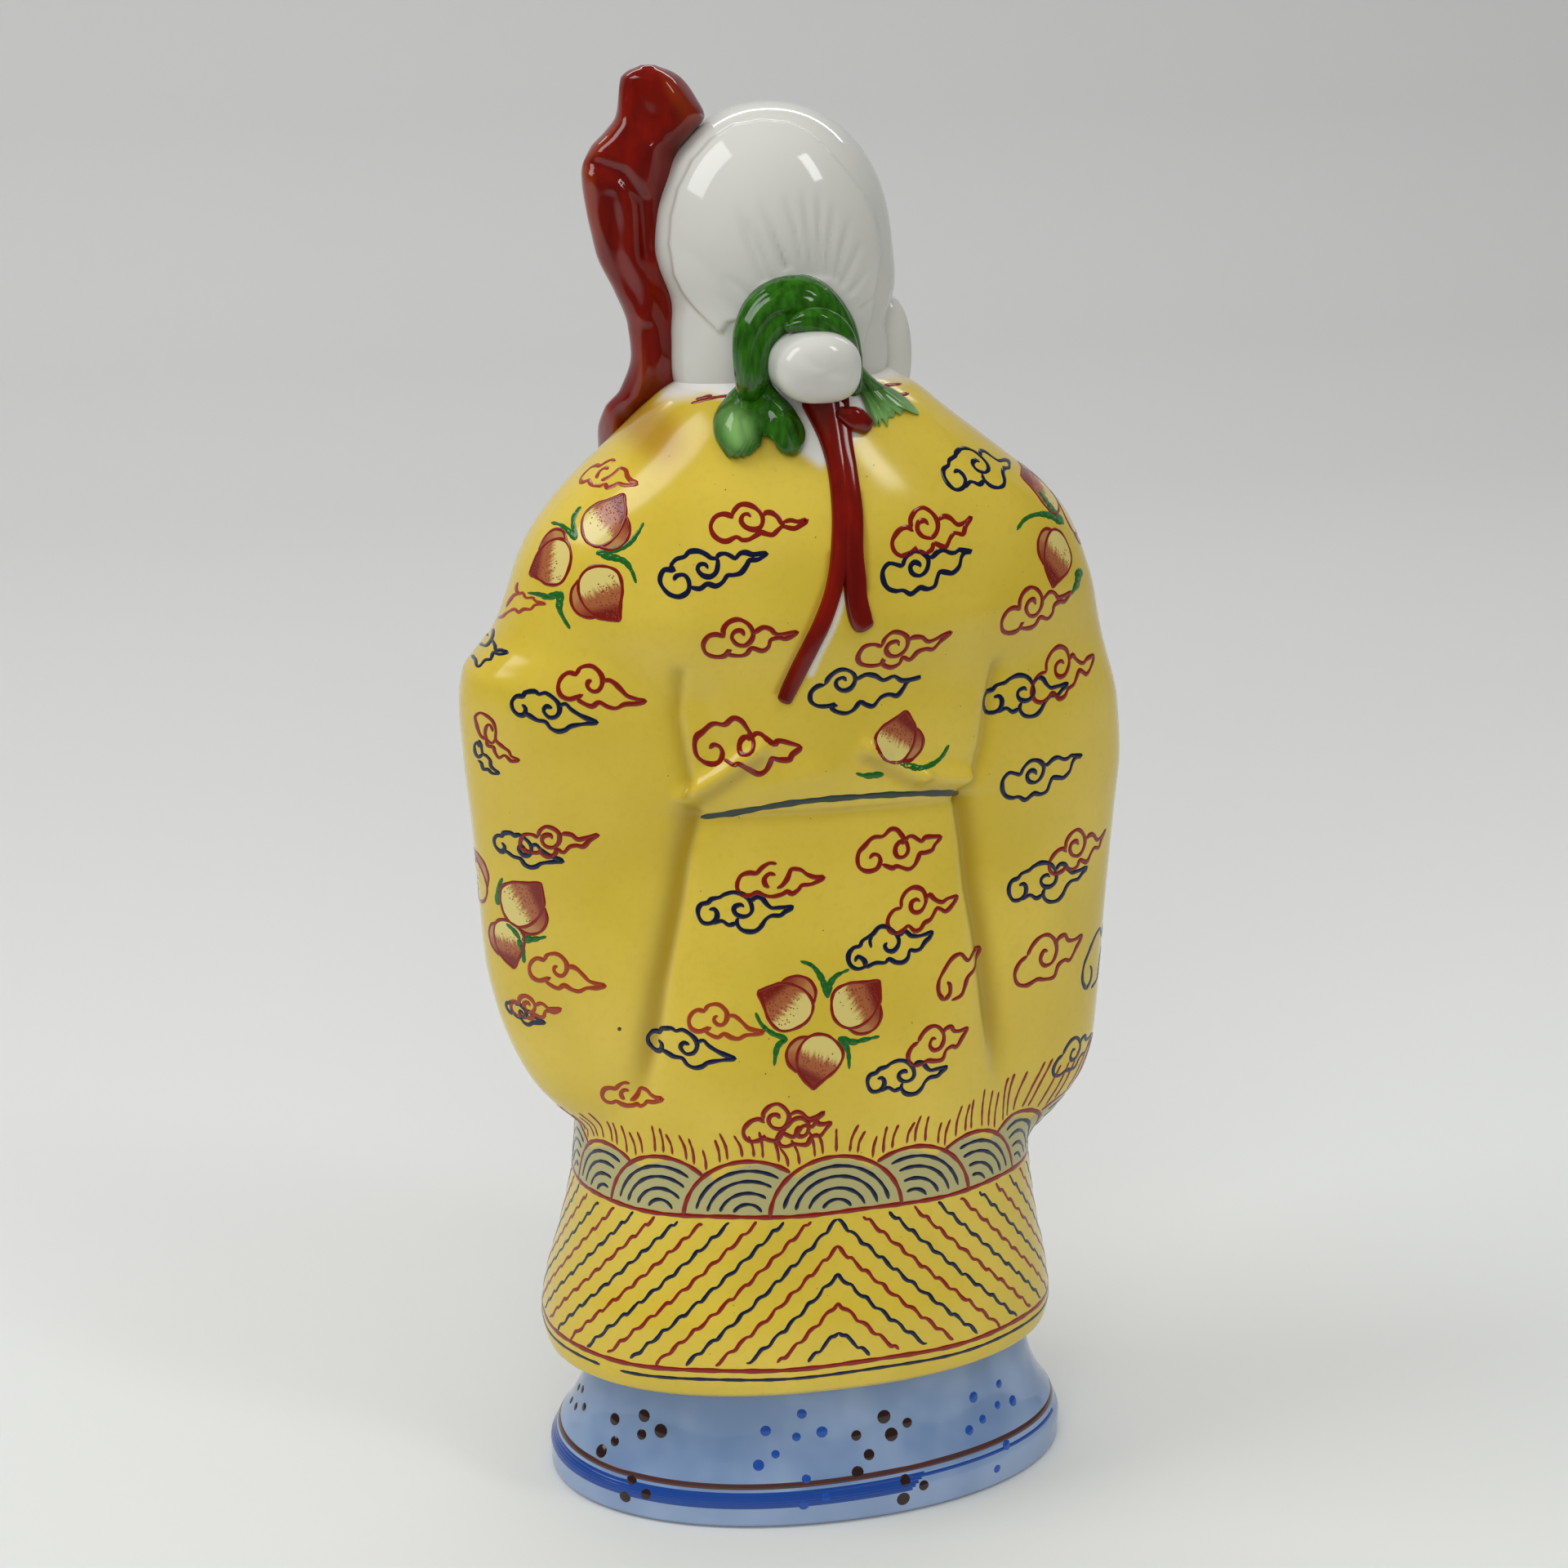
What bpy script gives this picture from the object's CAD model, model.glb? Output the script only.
import bmesh
import bpy
import numpy as np
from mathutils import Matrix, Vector
from mathutils.bvhtree import BVHTree


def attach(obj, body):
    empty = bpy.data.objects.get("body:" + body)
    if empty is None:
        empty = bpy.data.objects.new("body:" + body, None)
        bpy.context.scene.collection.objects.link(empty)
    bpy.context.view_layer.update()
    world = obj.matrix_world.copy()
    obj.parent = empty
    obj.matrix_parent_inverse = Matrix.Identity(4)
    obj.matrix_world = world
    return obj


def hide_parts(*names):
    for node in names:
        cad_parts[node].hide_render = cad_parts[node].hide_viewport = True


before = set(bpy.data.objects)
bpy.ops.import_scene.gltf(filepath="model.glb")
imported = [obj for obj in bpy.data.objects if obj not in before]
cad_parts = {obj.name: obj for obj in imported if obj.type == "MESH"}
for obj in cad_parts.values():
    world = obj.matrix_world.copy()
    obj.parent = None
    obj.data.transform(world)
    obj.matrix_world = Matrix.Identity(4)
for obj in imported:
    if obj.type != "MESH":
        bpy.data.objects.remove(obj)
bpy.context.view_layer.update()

MM = 0.001
TAU = 2.0 * np.pi
BODY = "root"
CASTING = "shoulao_figure"
GLASS_IOR = 1.52
ENAMEL_ROUGHNESS = 0.13


# Camera, floor and light:
# The figure stood on a pale sweep of paper under a large window and a softer strip from the right.
EYE = Vector((89.98, 389.75, 223.0))
EYE_TURN = np.radians(13.0)
EYE_PITCH = np.radians(17.0)
FOCAL = 3664.0
AXIS_AT = (981.0, 973.0)
FRAME = 1920.0
AHEAD = Vector((-np.sin(EYE_TURN) * np.cos(EYE_PITCH), -np.cos(EYE_TURN) * np.cos(EYE_PITCH),
                -np.sin(EYE_PITCH)))
ASIDE = Vector((-np.cos(EYE_TURN), np.sin(EYE_TURN), 0.0))
ALOFT = ASIDE.cross(AHEAD)
LIT_MIDDLE = Vector((0.0, 0.0, 110.0))
FILL_WARMTH = (1.0, 0.995, 0.985)


def paint_colour(swatch):
    """Linear colour of a swatch written as #RRGGBB."""
    parts = [int(swatch[i:i + 2], 16) / 255.0 for i in (1, 3, 5)]
    return tuple(c / 12.92 if c <= 0.04045 else ((c + 0.055) / 1.055) ** 2.4 for c in parts) + (1.0,)


def add_node(tree, kind, options, sockets):
    """Adds a shader node; sockets hold fixed values or the outputs that feed them."""
    made = tree.nodes.new(kind)
    for key, value in options.items():
        setattr(made, key, value)
    for key, value in sockets.items():
        if isinstance(value, bpy.types.NodeSocket):
            tree.links.new(value, made.inputs[key])
        else:
            made.inputs[key].default_value = value
    return made


def ramp(tree, value, low, high, start=0.0, end=1.0):
    """Turns low to high into start to end, easing in and out."""
    return add_node(tree, "ShaderNodeMapRange", {"interpolation_type": "SMOOTHSTEP"},
                    {0: value, 1: low, 2: high, 3: start, 4: end}).outputs[0]


def over(tree, share, coat, swatch):
    """Lays a second colour over a coat, as much of it as share says."""
    return add_node(tree, "ShaderNodeMix", {"data_type": "RGBA"},
                    {0: share, 6: coat, 7: paint_colour(swatch)}).outputs[2]


eye = bpy.data.cameras.new("eye")
eye.sensor_fit = "HORIZONTAL"
eye.sensor_width = 36.0
eye.lens = eye.sensor_width * FOCAL / FRAME
eye.shift_x = (FRAME / 2 - AXIS_AT[0]) / FRAME
eye.shift_y = (AXIS_AT[1] - FRAME / 2) / FRAME
camera = bpy.data.objects.new("camera", eye)
camera.location = EYE * MM
camera.rotation_euler = AHEAD.to_track_quat("-Z", "Y").to_euler()
bpy.context.collection.objects.link(camera)
bpy.context.scene.camera = camera
bpy.context.scene.view_settings.view_transform = "Standard"


def soft_light(name, place, size, watts, mirrored=True):
    """A rectangular light turned to the figure; a fill is left out of what the glaze mirrors."""
    lamp = bpy.data.lights.new(name, "AREA")
    lamp.shape = "RECTANGLE"
    lamp.size = size[0] * MM
    lamp.size_y = size[1] * MM
    lamp.energy = watts
    lamp.color = (1.0, 1.0, 1.0) if mirrored else FILL_WARMTH
    made = bpy.data.objects.new(name, lamp)
    made.location = Vector(place) * MM
    made.visible_glossy = mirrored
    made.rotation_euler = (LIT_MIDDLE - Vector(place)).to_track_quat("-Z", "Y").to_euler()
    bpy.context.collection.objects.link(made)


soft_light("window", (683.0, 0.0, 810.0), (400.0, 600.0), 2.9)
soft_light("side_window", (-396.0, 440.0, 850.0), (130.0, 330.0), 0.9)
soft_light("far_strip", (-150.0, -690.0, 780.0), (1300.0, 60.0), 1.6)
soft_light("ceiling", (0.0, 300.0, 1900.0), (3200.0, 3200.0), 21.5, False)
soft_light("room", (500.0, 1500.0, 700.0), (1200.0, 900.0), 9.5, False)

world = bpy.data.worlds.new("studio")
world.use_nodes = True
bpy.context.scene.world = world
world.node_tree.nodes["Background"].inputs["Color"].default_value = paint_colour("#F2F3F2")
glimpse = add_node(world.node_tree, "ShaderNodeLightPath", {}, {})
dimmed = add_node(world.node_tree, "ShaderNodeMapRange", {},
                  {0: glimpse.outputs["Is Glossy Ray"], 1: 0.0, 2: 1.0, 3: 0.26, 4: 0.10})
world.node_tree.links.new(dimmed.outputs[0], world.node_tree.nodes["Background"].inputs["Strength"])

# The sweep: a floor that curves up far behind the figure, as wide as the light reaches.
SWEEP = [(900.0, 0.0), (-700.0, 0.0), (-900.0, 20.0), (-1080.0, 110.0), (-1180.0, 280.0), (-1220.0, 520.0),
         (-1230.0, 1500.0)]
paper_mesh = bpy.data.meshes.new("paper_sweep")
paper_mesh.from_pydata([(x * MM, y * MM, z * MM) for y, z in SWEEP for x in (-2500.0, 2500.0)], [],
                       [(2 * i, 2 * i + 1, 2 * i + 3, 2 * i + 2) for i in range(len(SWEEP) - 1)])
paper_mesh.flip_normals()
paper_mesh.shade_smooth()
paper = bpy.data.objects.new("paper_sweep", paper_mesh)
bpy.context.collection.objects.link(paper)
white_paper = bpy.data.materials.new("matt_white_paper")
white_paper.use_nodes = True
paper_mesh.materials.append(white_paper)
tree = white_paper.node_tree
where = add_node(tree, "ShaderNodeTexCoord", {}, {})
split = add_node(tree, "ShaderNodeSeparateXYZ", {}, {0: where.outputs["Object"]})
# Metres along Y at which each shade starts and is reached: the middle, the rise and the dim foreground.
ground = paint_colour("#E0E2E0")
for start, end, swatch in ((-0.02, -0.40, "#D7D7D7"), (-0.55, -1.15, "#D8D8D8"), (0.09, 0.30, "#565654")):
    ground = over(tree, ramp(tree, split.outputs["Y"], start, end), ground, swatch)
tree.links.new(ground, tree.nodes["Principled BSDF"].inputs["Base Color"])
tree.nodes["Principled BSDF"].inputs["Roughness"].default_value = 0.75


# Under-robe:
# The pale blue under-robe is the foot of the casting, dipped blue glaze with a hand-banded rim.
FOOT_HALF, FOOT_DEEP, FOOT_OFFSET = 38.25, 25.0, 0.9
# Height, and how far the foot draws in there at its sides and at its back
FOOT_FLARE = [(0.0, 0.7, 0.7), (0.7, 0.0, 0.0), (3.6, 0.0, 0.0), (6.0, 0.9, 0.8), (9.5, 3.0, 2.4),
              (14.0, 4.9, 3.6), (19.0, 5.9, 4.2), (26.0, 6.2, 4.4)]


def smooth_table(at, rows):
    """Value at each height, on a smooth curve through (height, value) rows without overshoot."""
    x = np.array([row[0] for row in rows], float)
    y = np.array([row[1] for row in rows], float)
    step = np.diff(x)
    slope = np.diff(y) / step
    tangent = np.zeros(len(x))
    inner = slope[:-1] * slope[1:] > 0
    tangent[1:-1][inner] = 2.0 * slope[:-1][inner] * slope[1:][inner] / (slope[:-1] + slope[1:])[inner]
    tangent[0], tangent[-1] = slope[0], slope[-1]
    at = np.clip(at, x[0], x[-1])
    i = np.clip(np.searchsorted(x, at) - 1, 0, len(step) - 1)
    t = (at - x[i]) / step[i]
    h00 = 2 * t**3 - 3 * t**2 + 1
    h10 = t**3 - 2 * t**2 + t
    h01 = 3 * t**2 - 2 * t**3
    h11 = t**3 - t**2
    return h00 * y[i] + h10 * step[i] * tangent[i] + h01 * y[i + 1] + h11 * step[i] * tangent[i + 1]


def ease(low, high, at):
    """0 below low, 1 above high, and a smooth ramp between."""
    t = np.clip((at - low) / (high - low), 0.0, 1.0)
    return t * t * (3.0 - 2.0 * t)


def bump(distance, width):
    """1 at no distance, fading to nothing over about twice the width."""
    return np.exp(-((distance / width) ** 2))


def oval(angle, left, right, back, front, squareness):
    """Distance from the axis to a rounded oval with its own reach on each side."""
    across, along = np.cos(angle), np.sin(angle)
    side = np.where(across > 0, left, right)
    end = np.where(along > 0, back, front)
    return (np.abs(across / side) ** squareness + np.abs(along / end) ** squareness) ** (-1.0 / squareness)


def closed_mesh(name, points, faces, sharp):
    """A closed mesh with its faces turned outwards, smooth where they meet below an angle in degrees."""
    mesh = bpy.data.meshes.new(name)
    mesh.from_pydata(points, [], faces)
    work = bmesh.new()
    work.from_mesh(mesh)
    bmesh.ops.recalc_face_normals(work, faces=work.faces[:])
    work.to_mesh(mesh)
    work.free()
    mesh.shade_smooth()
    mesh.set_sharp_from_angle(angle=np.radians(sharp))
    return mesh


def set_mark(mesh, name, values):
    """Leaves a value on each point for the material to read."""
    marked = mesh.attributes.new(name, "FLOAT", "POINT")
    marked.data.foreach_set("value", np.ravel(values).astype(np.float32))


def form(name, rings, material, marks=None, sharp=55.0):
    """A closed body through rings of points, listed from one end to the other, with filled ends."""
    rows, columns = rings.shape[:2]
    index = np.arange(rows * columns).reshape(rows, columns)
    ahead = np.roll(index, -1, axis=1)
    faces = np.stack([index[:-1], ahead[:-1], ahead[1:], index[1:]], -1).reshape(-1, 4).tolist()
    faces.append(index[0][::-1].tolist())
    faces.append(index[-1].tolist())
    mesh = closed_mesh(name, (rings.reshape(-1, 3) * MM).tolist(), faces, sharp)
    for made, values in (marks or {}).items():
        set_mark(mesh, made, values)
    return dress(name, mesh, material)


def dress(name, mesh, material):
    """Links a piece of the figure, gives it its finish and lets it ride on the casting."""
    made = bpy.data.objects.new(name, mesh)
    bpy.context.collection.objects.link(made)
    mesh.materials.append(material)
    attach(made, BODY)
    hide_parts(CASTING)
    return made


def glaze(name, swatch, roughness=0.09):
    """A fired gloss glaze: smooth, hard and clear-topped, with the faint ripple of a dipped coat.

    Gives its material, node tree, shader and the place of each point in metres.
    """
    material = bpy.data.materials.new(name)
    material.use_nodes = True
    tree = material.node_tree
    shader = tree.nodes["Principled BSDF"]
    shader.inputs["Base Color"].default_value = paint_colour(swatch)
    shader.inputs["Roughness"].default_value = roughness
    shader.inputs["IOR"].default_value = GLASS_IOR
    place = add_node(tree, "ShaderNodeTexCoord", {}, {})
    ripple = add_node(tree, "ShaderNodeTexNoise", {},
                      {"Vector": place.outputs["Object"], "Scale": 1.0 / (5.0 * MM), "Detail": 1.0})
    dents = add_node(tree, "ShaderNodeBump", {},
                     {"Strength": 0.035, "Distance": 0.4 * MM, "Height": ripple.outputs[0]})
    tree.links.new(dents.outputs[0], shader.inputs["Normal"])
    return material, tree, shader, place.outputs["Object"]


def mark(tree, name):
    """The value that the modelling left on each point, such as how deep the glaze pooled there."""
    return add_node(tree, "ShaderNodeAttribute", {"attribute_name": name}, {}).outputs["Fac"]


def worn(tree, coat, name, low, high, most, swatch):
    """Lays a colour over a coat where a mark runs from low to high, up to the share most."""
    return over(tree, ramp(tree, mark(tree, name), low, high, 0.0, most), coat, swatch)


def noise(tree, place, size, detail=2.0):
    """Soft irregular patches about a size in mm across."""
    return add_node(tree, "ShaderNodeTexNoise", {},
                    {"Vector": place, "Scale": 1.0 / (size * MM), "Detail": detail}).outputs[0]


def under_robe_rings():
    """Rings of the flared foot, with faint hanging folds and a scored line above the rim."""
    side = [(height, FOOT_HALF - less) for height, less, _ in FOOT_FLARE]
    back = [(height, FOOT_DEEP - less) for height, _, less in FOOT_FLARE]
    heights = np.concatenate([np.linspace(0.0, 1.0, 6), np.linspace(1.4, 26.0, 70)])
    angle, z = np.meshgrid(np.linspace(0.0, TAU, 260, endpoint=False), heights)
    sides, ends = smooth_table(z, side), smooth_table(z, back)
    reach = oval(angle, sides, sides, ends, ends, 2.1)
    reach = reach + 0.35 * np.sin(9.0 * angle + 0.6) * ease(6.0, 18.0, z)
    reach = reach - 0.16 * bump(z - 5.2, 0.5)
    return np.stack([reach * np.cos(angle) - FOOT_OFFSET, reach * np.sin(angle), z], -1)


blue, tree, shader, place = glaze("pale_blue_glaze", "#7A93C8")
coat = over(tree, ramp(tree, noise(tree, place, 11.0), 0.3, 0.72), paint_colour("#6E88AF"), "#8BA1C2")
low = add_node(tree, "ShaderNodeSeparateXYZ", {}, {0: place}).outputs["Z"]
coat = over(tree, ramp(tree, low, 5.5 * MM, 3.0 * MM, 0.0, 0.45), coat, "#98AAC8")
tree.links.new(coat, shader.inputs["Base Color"])
skirt_rings = under_robe_rings()
form("under_robe", skirt_rings, blue)


# Robe:
# The long yellow robe with hanging sleeves is the trunk of the casting under a thick yellow enamel
# that pools brown in the creases; it was left bare round the ribbons, the knot and the collar.
HEM_HALF, HEM_BACK = 37.4, 25.4
TRUNK_SIDE = [(20.4, HEM_HALF - 2.0), (21.6, HEM_HALF - 0.4), (24.0, HEM_HALF), (30, 36.6), (36, 35.1),
              (47, 33.2), (56, 32.6), (66, 32.4), (75, 32.2), (85, 32.6), (95, 33.6), (103, 34.6),
              (106, 33.4), (112, 33.0), (120, 32.6), (130, 32.0), (138, 30.4), (144, 27.6), (149, 23.6),
              (153, 19.8), (156, 16.8), (158, 14.4), (160, 10.6)]
TRUNK_BACK = [(20.4, HEM_BACK - 1.8), (21.6, HEM_BACK - 0.4), (24.0, HEM_BACK), (30, 24.8), (36, 23.7),
              (47, 22.2), (56, 21.5), (66, 21.2), (75, 20.7), (85, 19.9), (95, 19.0), (101, 18.6),
              (103.7, 18.5), (105.0, 19.4), (107.5, 20.1), (114, 20.9), (122, 21.4), (130, 21.2),
              (138, 20.2), (144, 18.4), (149, 16.2), (153, 14.0), (156, 12.0), (158, 10.2), (160, 8.0)]
TRUNK_FRONT = [(20.4, HEM_BACK - 1.8), (21.6, HEM_BACK - 0.4), (24.0, HEM_BACK), (30, 24.4), (36, 23.3),
               (47, 21.6), (56, 20.8), (66, 20.4), (75, 20.2), (90, 20.0), (105, 20.2), (118, 21.0),
               (130, 20.6), (138, 19.2), (144, 17.4), (149, 15.4), (153, 13.6), (156, 12.0), (158, 10.4),
               (160, 8.0)]
SLEEVE_LEFT = [(53.5, 28.0), (55.0, 31.6), (57, 34.4), (59, 36.6), (62.3, 39.2), (68, 41.9), (73, 43.5),
               (80, 44.8), (93, 45.6), (99, 46.0), (108, 46.8), (116.5, 47.2), (120.7, 46.6), (123.4, 44.6),
               (126, 42.2), (131, 39.4), (136, 37.6), (140, 35.4), (144, 32.0), (147, 28.6), (150, 24.6),
               (153, 20.6), (156, 16.9), (158, 14.4), (160, 10.6)]
SLEEVE_RIGHT = [(46.5, 29.0), (48.0, 33.0), (50.4, 36.2), (53.4, 39.2), (58.3, 42.2), (63.5, 43.4),
                (80, 44.3), (97.6, 45.5), (104.5, 46.0), (113, 45.3), (120.7, 43.2), (129.8, 40.2),
                (139.2, 36.2), (143.8, 32.4), (148, 27.1), (152, 21.5), (155, 17.0), (157.6, 13.7),
                (160, 10.0)]
SLEEVE_BACK = [(46.5, 13.6), (54, 15.6), (62, 17.2), (75, 17.8), (95, 17.4), (110, 18.2), (122, 18.9),
               (132, 19.0), (138, 18.6), (144, 17.4), (149, 15.6), (153, 13.6), (156, 11.8), (158, 10.0),
               (160, 8.0)]
SLEEVE_FRONT = [(46.5, 15.0), (54, 19.0), (58, 23.0), (64, 25.0), (76, 26.0), (95, 26.6), (108, 26.8),
                (118, 25.4), (128, 22.8), (138, 19.6), (144, 17.4), (149, 15.4), (153, 13.4), (156, 11.8),
                (158, 10.2), (160, 8.0)]
# Folds above the back waist, on each sleeve and on the lower robe: start, end, height, width
BACK_FOLDS = [((19.4, 106.8), (10.0, 114.0), 1.5, 1.3), ((9.0, 108.6), (2.0, 110.0), 0.4, 2.0),
              ((-18.6, 107.0), (-11.4, 108.6), 1.2, 1.3), ((-11.4, 108.6), (-4.2, 113.2), 1.4, 1.2),
              ((-7.4, 110.8), (-10.2, 108.6), -0.7, 1.5), ((17.6, 120.0), (16.0, 112.0), -0.5, 2.2)]
# Creases where the sleeves hang away from the back, seen from behind: line, depth, width
BACK_CREASES = [([(19.3, 104.4), (20.8, 98.3), (21.7, 92.3), (22.9, 86.3), (24.2, 80.2), (26.6, 64.0)], 1.4,
                1.6), ([(-19.0, 103.6), (-20.1, 97.3), (-20.8, 91.1), (-22.1, 84.7), (-23.1, 78.3),
                (-25.6, 60.0)], 1.4, 1.6), ([(21.0, 124.0), (21.4, 118.1), (20.2, 111.2), (19.3, 107.2)],
                0.8, 1.1), ([(-23.2, 122.3), (-22.3, 117.4), (-21.6, 111.4), (-20.2, 106.5), (-19.0, 104.6)],
                0.8, 1.1)]
SLEEVE_MOUTHS = [[(13.5, 109.0), (11.2, 96.0), (11.4, 80.0), (15.0, 64.0)], [(-13.5, 106.0), (-11.2, 94.0),
                 (-11.4, 76.0), (-15.0, 57.0)]]
FRONT_FOLDS = [((13.0, 112.0), (33.0, 92.0), 1.2, 2.6), ((14.0, 104.0), (34.0, 76.0), 1.1, 2.6),
               ((14.0, 96.0), (30.0, 64.0), 1.0, 2.4), ((-13.0, 112.0), (-33.0, 90.0), 1.2, 2.6),
               ((-14.0, 103.0), (-34.0, 74.0), 1.1, 2.6), ((-14.0, 94.0), (-30.0, 60.0), 1.0, 2.4),
               ((30.0, 134.0), (18.0, 120.0), 0.9, 2.4), ((-30.0, 134.0), (-18.0, 120.0), 0.9, 2.4),
               ((4.5, 96.0), (7.0, 48.0), 0.8, 1.6), ((-4.5, 96.0), (-7.5, 48.0), 0.8, 1.6), ((13.0, 56.0),
               (18.0, 26.0), 0.7, 2.6), ((-13.0, 52.0), (-18.0, 26.0), 0.7, 2.6)]


def line_distance(x, z, start, end):
    """Distance in the (x, z) view from a straight line."""
    ax, az = start
    bx, bz = end
    length2 = (bx - ax) ** 2 + (bz - az) ** 2
    t = np.clip(((x - ax) * (bx - ax) + (z - az) * (bz - az)) / length2, 0.0, 1.0)
    return np.hypot(x - ax - t * (bx - ax), z - az - t * (bz - az))


def path_distance(x, z, path):
    """Distance in the (x, z) view from a line with corners."""
    near = np.full(np.shape(x), 1e9)
    for start, end in zip(path[:-1], path[1:]):
        near = np.minimum(near, line_distance(x, z, start, end))
    return near


def robe_reach(angle, z):
    """Distance from the axis to the robe, and how deep in a crease each place lies."""
    trunk = oval(angle, smooth_table(z, TRUNK_SIDE), smooth_table(z, TRUNK_SIDE),
                 smooth_table(z, TRUNK_BACK), smooth_table(z, TRUNK_FRONT), 2.28)
    sleeve = oval(angle, smooth_table(z, SLEEVE_LEFT), smooth_table(z, SLEEVE_RIGHT),
                  smooth_table(z, SLEEVE_BACK), smooth_table(z, SLEEVE_FRONT), 2.2)
    left_side = np.cos(angle) > 0
    back = np.sin(angle) > 0
    lowest = np.where(left_side, 54.0, 47.0)
    from_front = np.abs(np.degrees(np.arctan2(np.cos(angle), -np.sin(angle))))
    parted = 1.0 - 0.34 * (1.0 - ease(13.0, 25.0, from_front)) * ease(132.0, 112.0, z)
    sleeve = sleeve * parted * ease(lowest - 1.5, lowest + 2.0, z)
    upper = ease(119.0, 132.0, z)
    reach = 0.5 * (trunk + sleeve + np.sqrt((trunk - sleeve) ** 2 + (1.1 + 5.0 * upper) ** 2))
    x = reach * np.cos(angle)
    pool = 0.35 * bump(z - 103.6, 1.3) * back * ease(21.0, 18.0, np.abs(x))
    for path, depth, width in BACK_CREASES:
        near = path_distance(x, z, path)
        fade = ease(56.0, 74.0, z) * back
        reach = reach - depth * bump(near, width) * fade
        pool = np.maximum(pool, depth / 1.4 * bump(near, width) * fade)
    for path in SLEEVE_MOUTHS:
        near = bump(path_distance(x, z, path), 2.2) * ~back
        reach = reach - 1.5 * near
        pool = pool + 0.5 * near
    for side, folds in ((back, BACK_FOLDS), (~back, FRONT_FOLDS)):
        for start, end, height, width in folds:
            reach = reach + height * bump(line_distance(x, z, start, end), width) * side
            if height > 1.1 and width < 1.4:
                shade = 0.55 * bump(line_distance(x, z + 1.5 * width, start, end), 0.9 * width)
                pool = np.maximum(pool, shade * side)
    return reach, pool


def sway(z):
    """How far the middle of the robe stands off the axis: a little to his left at hem and neck."""
    return 0.7 * ease(50.0, 26.0, z) + 1.0 * ease(140.0, 160.0, z)


def stoop(z):
    return 1.0 * ease(140.0, 160.0, z)


def robe_point(angle, z):
    reach, pool = robe_reach(angle, z)
    return np.stack([reach * np.cos(angle) + sway(z), reach * np.sin(angle) - stoop(z), z], -1), pool


def skin(points):
    """Search tree over a lofted surface, in millimetres."""
    rows, columns = points.shape[:2]
    index = np.arange(rows * columns).reshape(rows, columns)
    ahead = np.roll(index, -1, axis=1)
    quads = np.stack([index[:-1], ahead[:-1], ahead[1:], index[1:]], -1).reshape(-1, 4)
    triangles = np.concatenate([quads[:, [0, 1, 2]], quads[:, [0, 2, 3]]])
    return BVHTree.FromPolygons(points.reshape(-1, 3).tolist(), triangles.tolist(), all_triangles=True)


robe_heights = np.concatenate([np.linspace(20.4, 24.0, 14), np.linspace(24.5, 62.0, 90),
                               np.linspace(62.6, 102.0, 74), np.linspace(102.3, 108.0, 26),
                               np.linspace(108.6, 160.0, 96)])
robe_angle, robe_z = np.meshgrid(np.linspace(0.0, TAU, 324, endpoint=False), robe_heights)
robe_points, robe_pool = robe_point(robe_angle, robe_z)
robe_skin = skin(robe_points)
skirt_skin = skin(skirt_rings)


def sight(u, v):
    """Direction in which the camera sees a pixel of the photo."""
    return (AHEAD * FOCAL + ASIDE * (u - AXIS_AT[0]) + ALOFT * (AXIS_AT[1] - v)).normalized()


def seen_at(tree, u, v):
    """Where the line of sight through a pixel meets a surface, and the surface's outward direction."""
    spot, normal = tree.ray_cast(EYE, sight(u, v))[:2]
    if spot is None:
        return None, None
    return spot, (normal if normal.dot(sight(u, v)) < 0 else -normal)


AFAR = 90.0


def along_y(tree, x, z, side):
    """Where a surface is met coming from behind (side 1) or from the front (side -1)."""
    return tree.ray_cast(Vector((x, side * AFAR, z)), Vector((0.0, -side, 0.0)))[:2]


def rounded(points, gap):
    """A smooth curve through flat points, sampled about every gap millimetres."""
    points = np.array(points, float)
    if len(points) == 2:
        points = np.array([points[0], points.mean(axis=0), points[1]])
    padded = np.vstack([2 * points[0] - points[1], points, 2 * points[-1] - points[-2]])
    out = []
    for p0, p1, p2, p3 in zip(padded[:-3], padded[1:-2], padded[2:-1], padded[3:]):
        steps = max(2, int(np.ceil(np.linalg.norm(p2 - p1) / gap)))
        t = np.arange(steps)[:, None] / steps
        out.append(0.5 * (2 * p1 + (p2 - p0) * t + (2 * p0 - 5 * p1 + 4 * p2 - p3) * t**2
                          + (3 * p1 - p0 - 3 * p2 + p3) * t**3))
    out.append(points[-1:])
    return np.vstack(out)


def edge_distance(outline, a, b):
    """Distance inside a closed flat outline, negative outside it."""
    outline = np.asarray(outline, float)
    nearest = np.full(np.shape(a), 1e9)
    inside = np.zeros(np.shape(a), bool)
    for (ax, ay), (bx, by) in zip(outline, np.roll(outline, -1, axis=0)):
        nearest = np.minimum(nearest, line_distance(a, b, (ax, ay), (bx + 1e-9, by)))
        crossing = (ay > b) != (by > b)
        inside ^= crossing & (a < (bx - ax) * (b - ay) / (by - ay + 1e-12) + ax)
    return np.where(inside, nearest, -nearest)


def transfer(tree, spot, normal, turn=0.0, size=1.0, anchor=(0.0, 0.0)):
    """Lays a flat drawing in mm on the surface, the drawing's anchor point on the given spot."""
    right = Vector((0.0, 0.0, 1.0)).cross(normal).normalized()
    over = normal.cross(right)
    c, s = np.cos(turn) * size, np.sin(turn) * size
    across, along = right * c + over * s, over * c - right * s

    def place(a, b):
        off = across * (a - anchor[0]) + along * (b - anchor[1])
        return tree.ray_cast(spot + off + normal * 7.0, -normal, 16.0)[:2]

    return place


SUNK = -0.045


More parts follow.
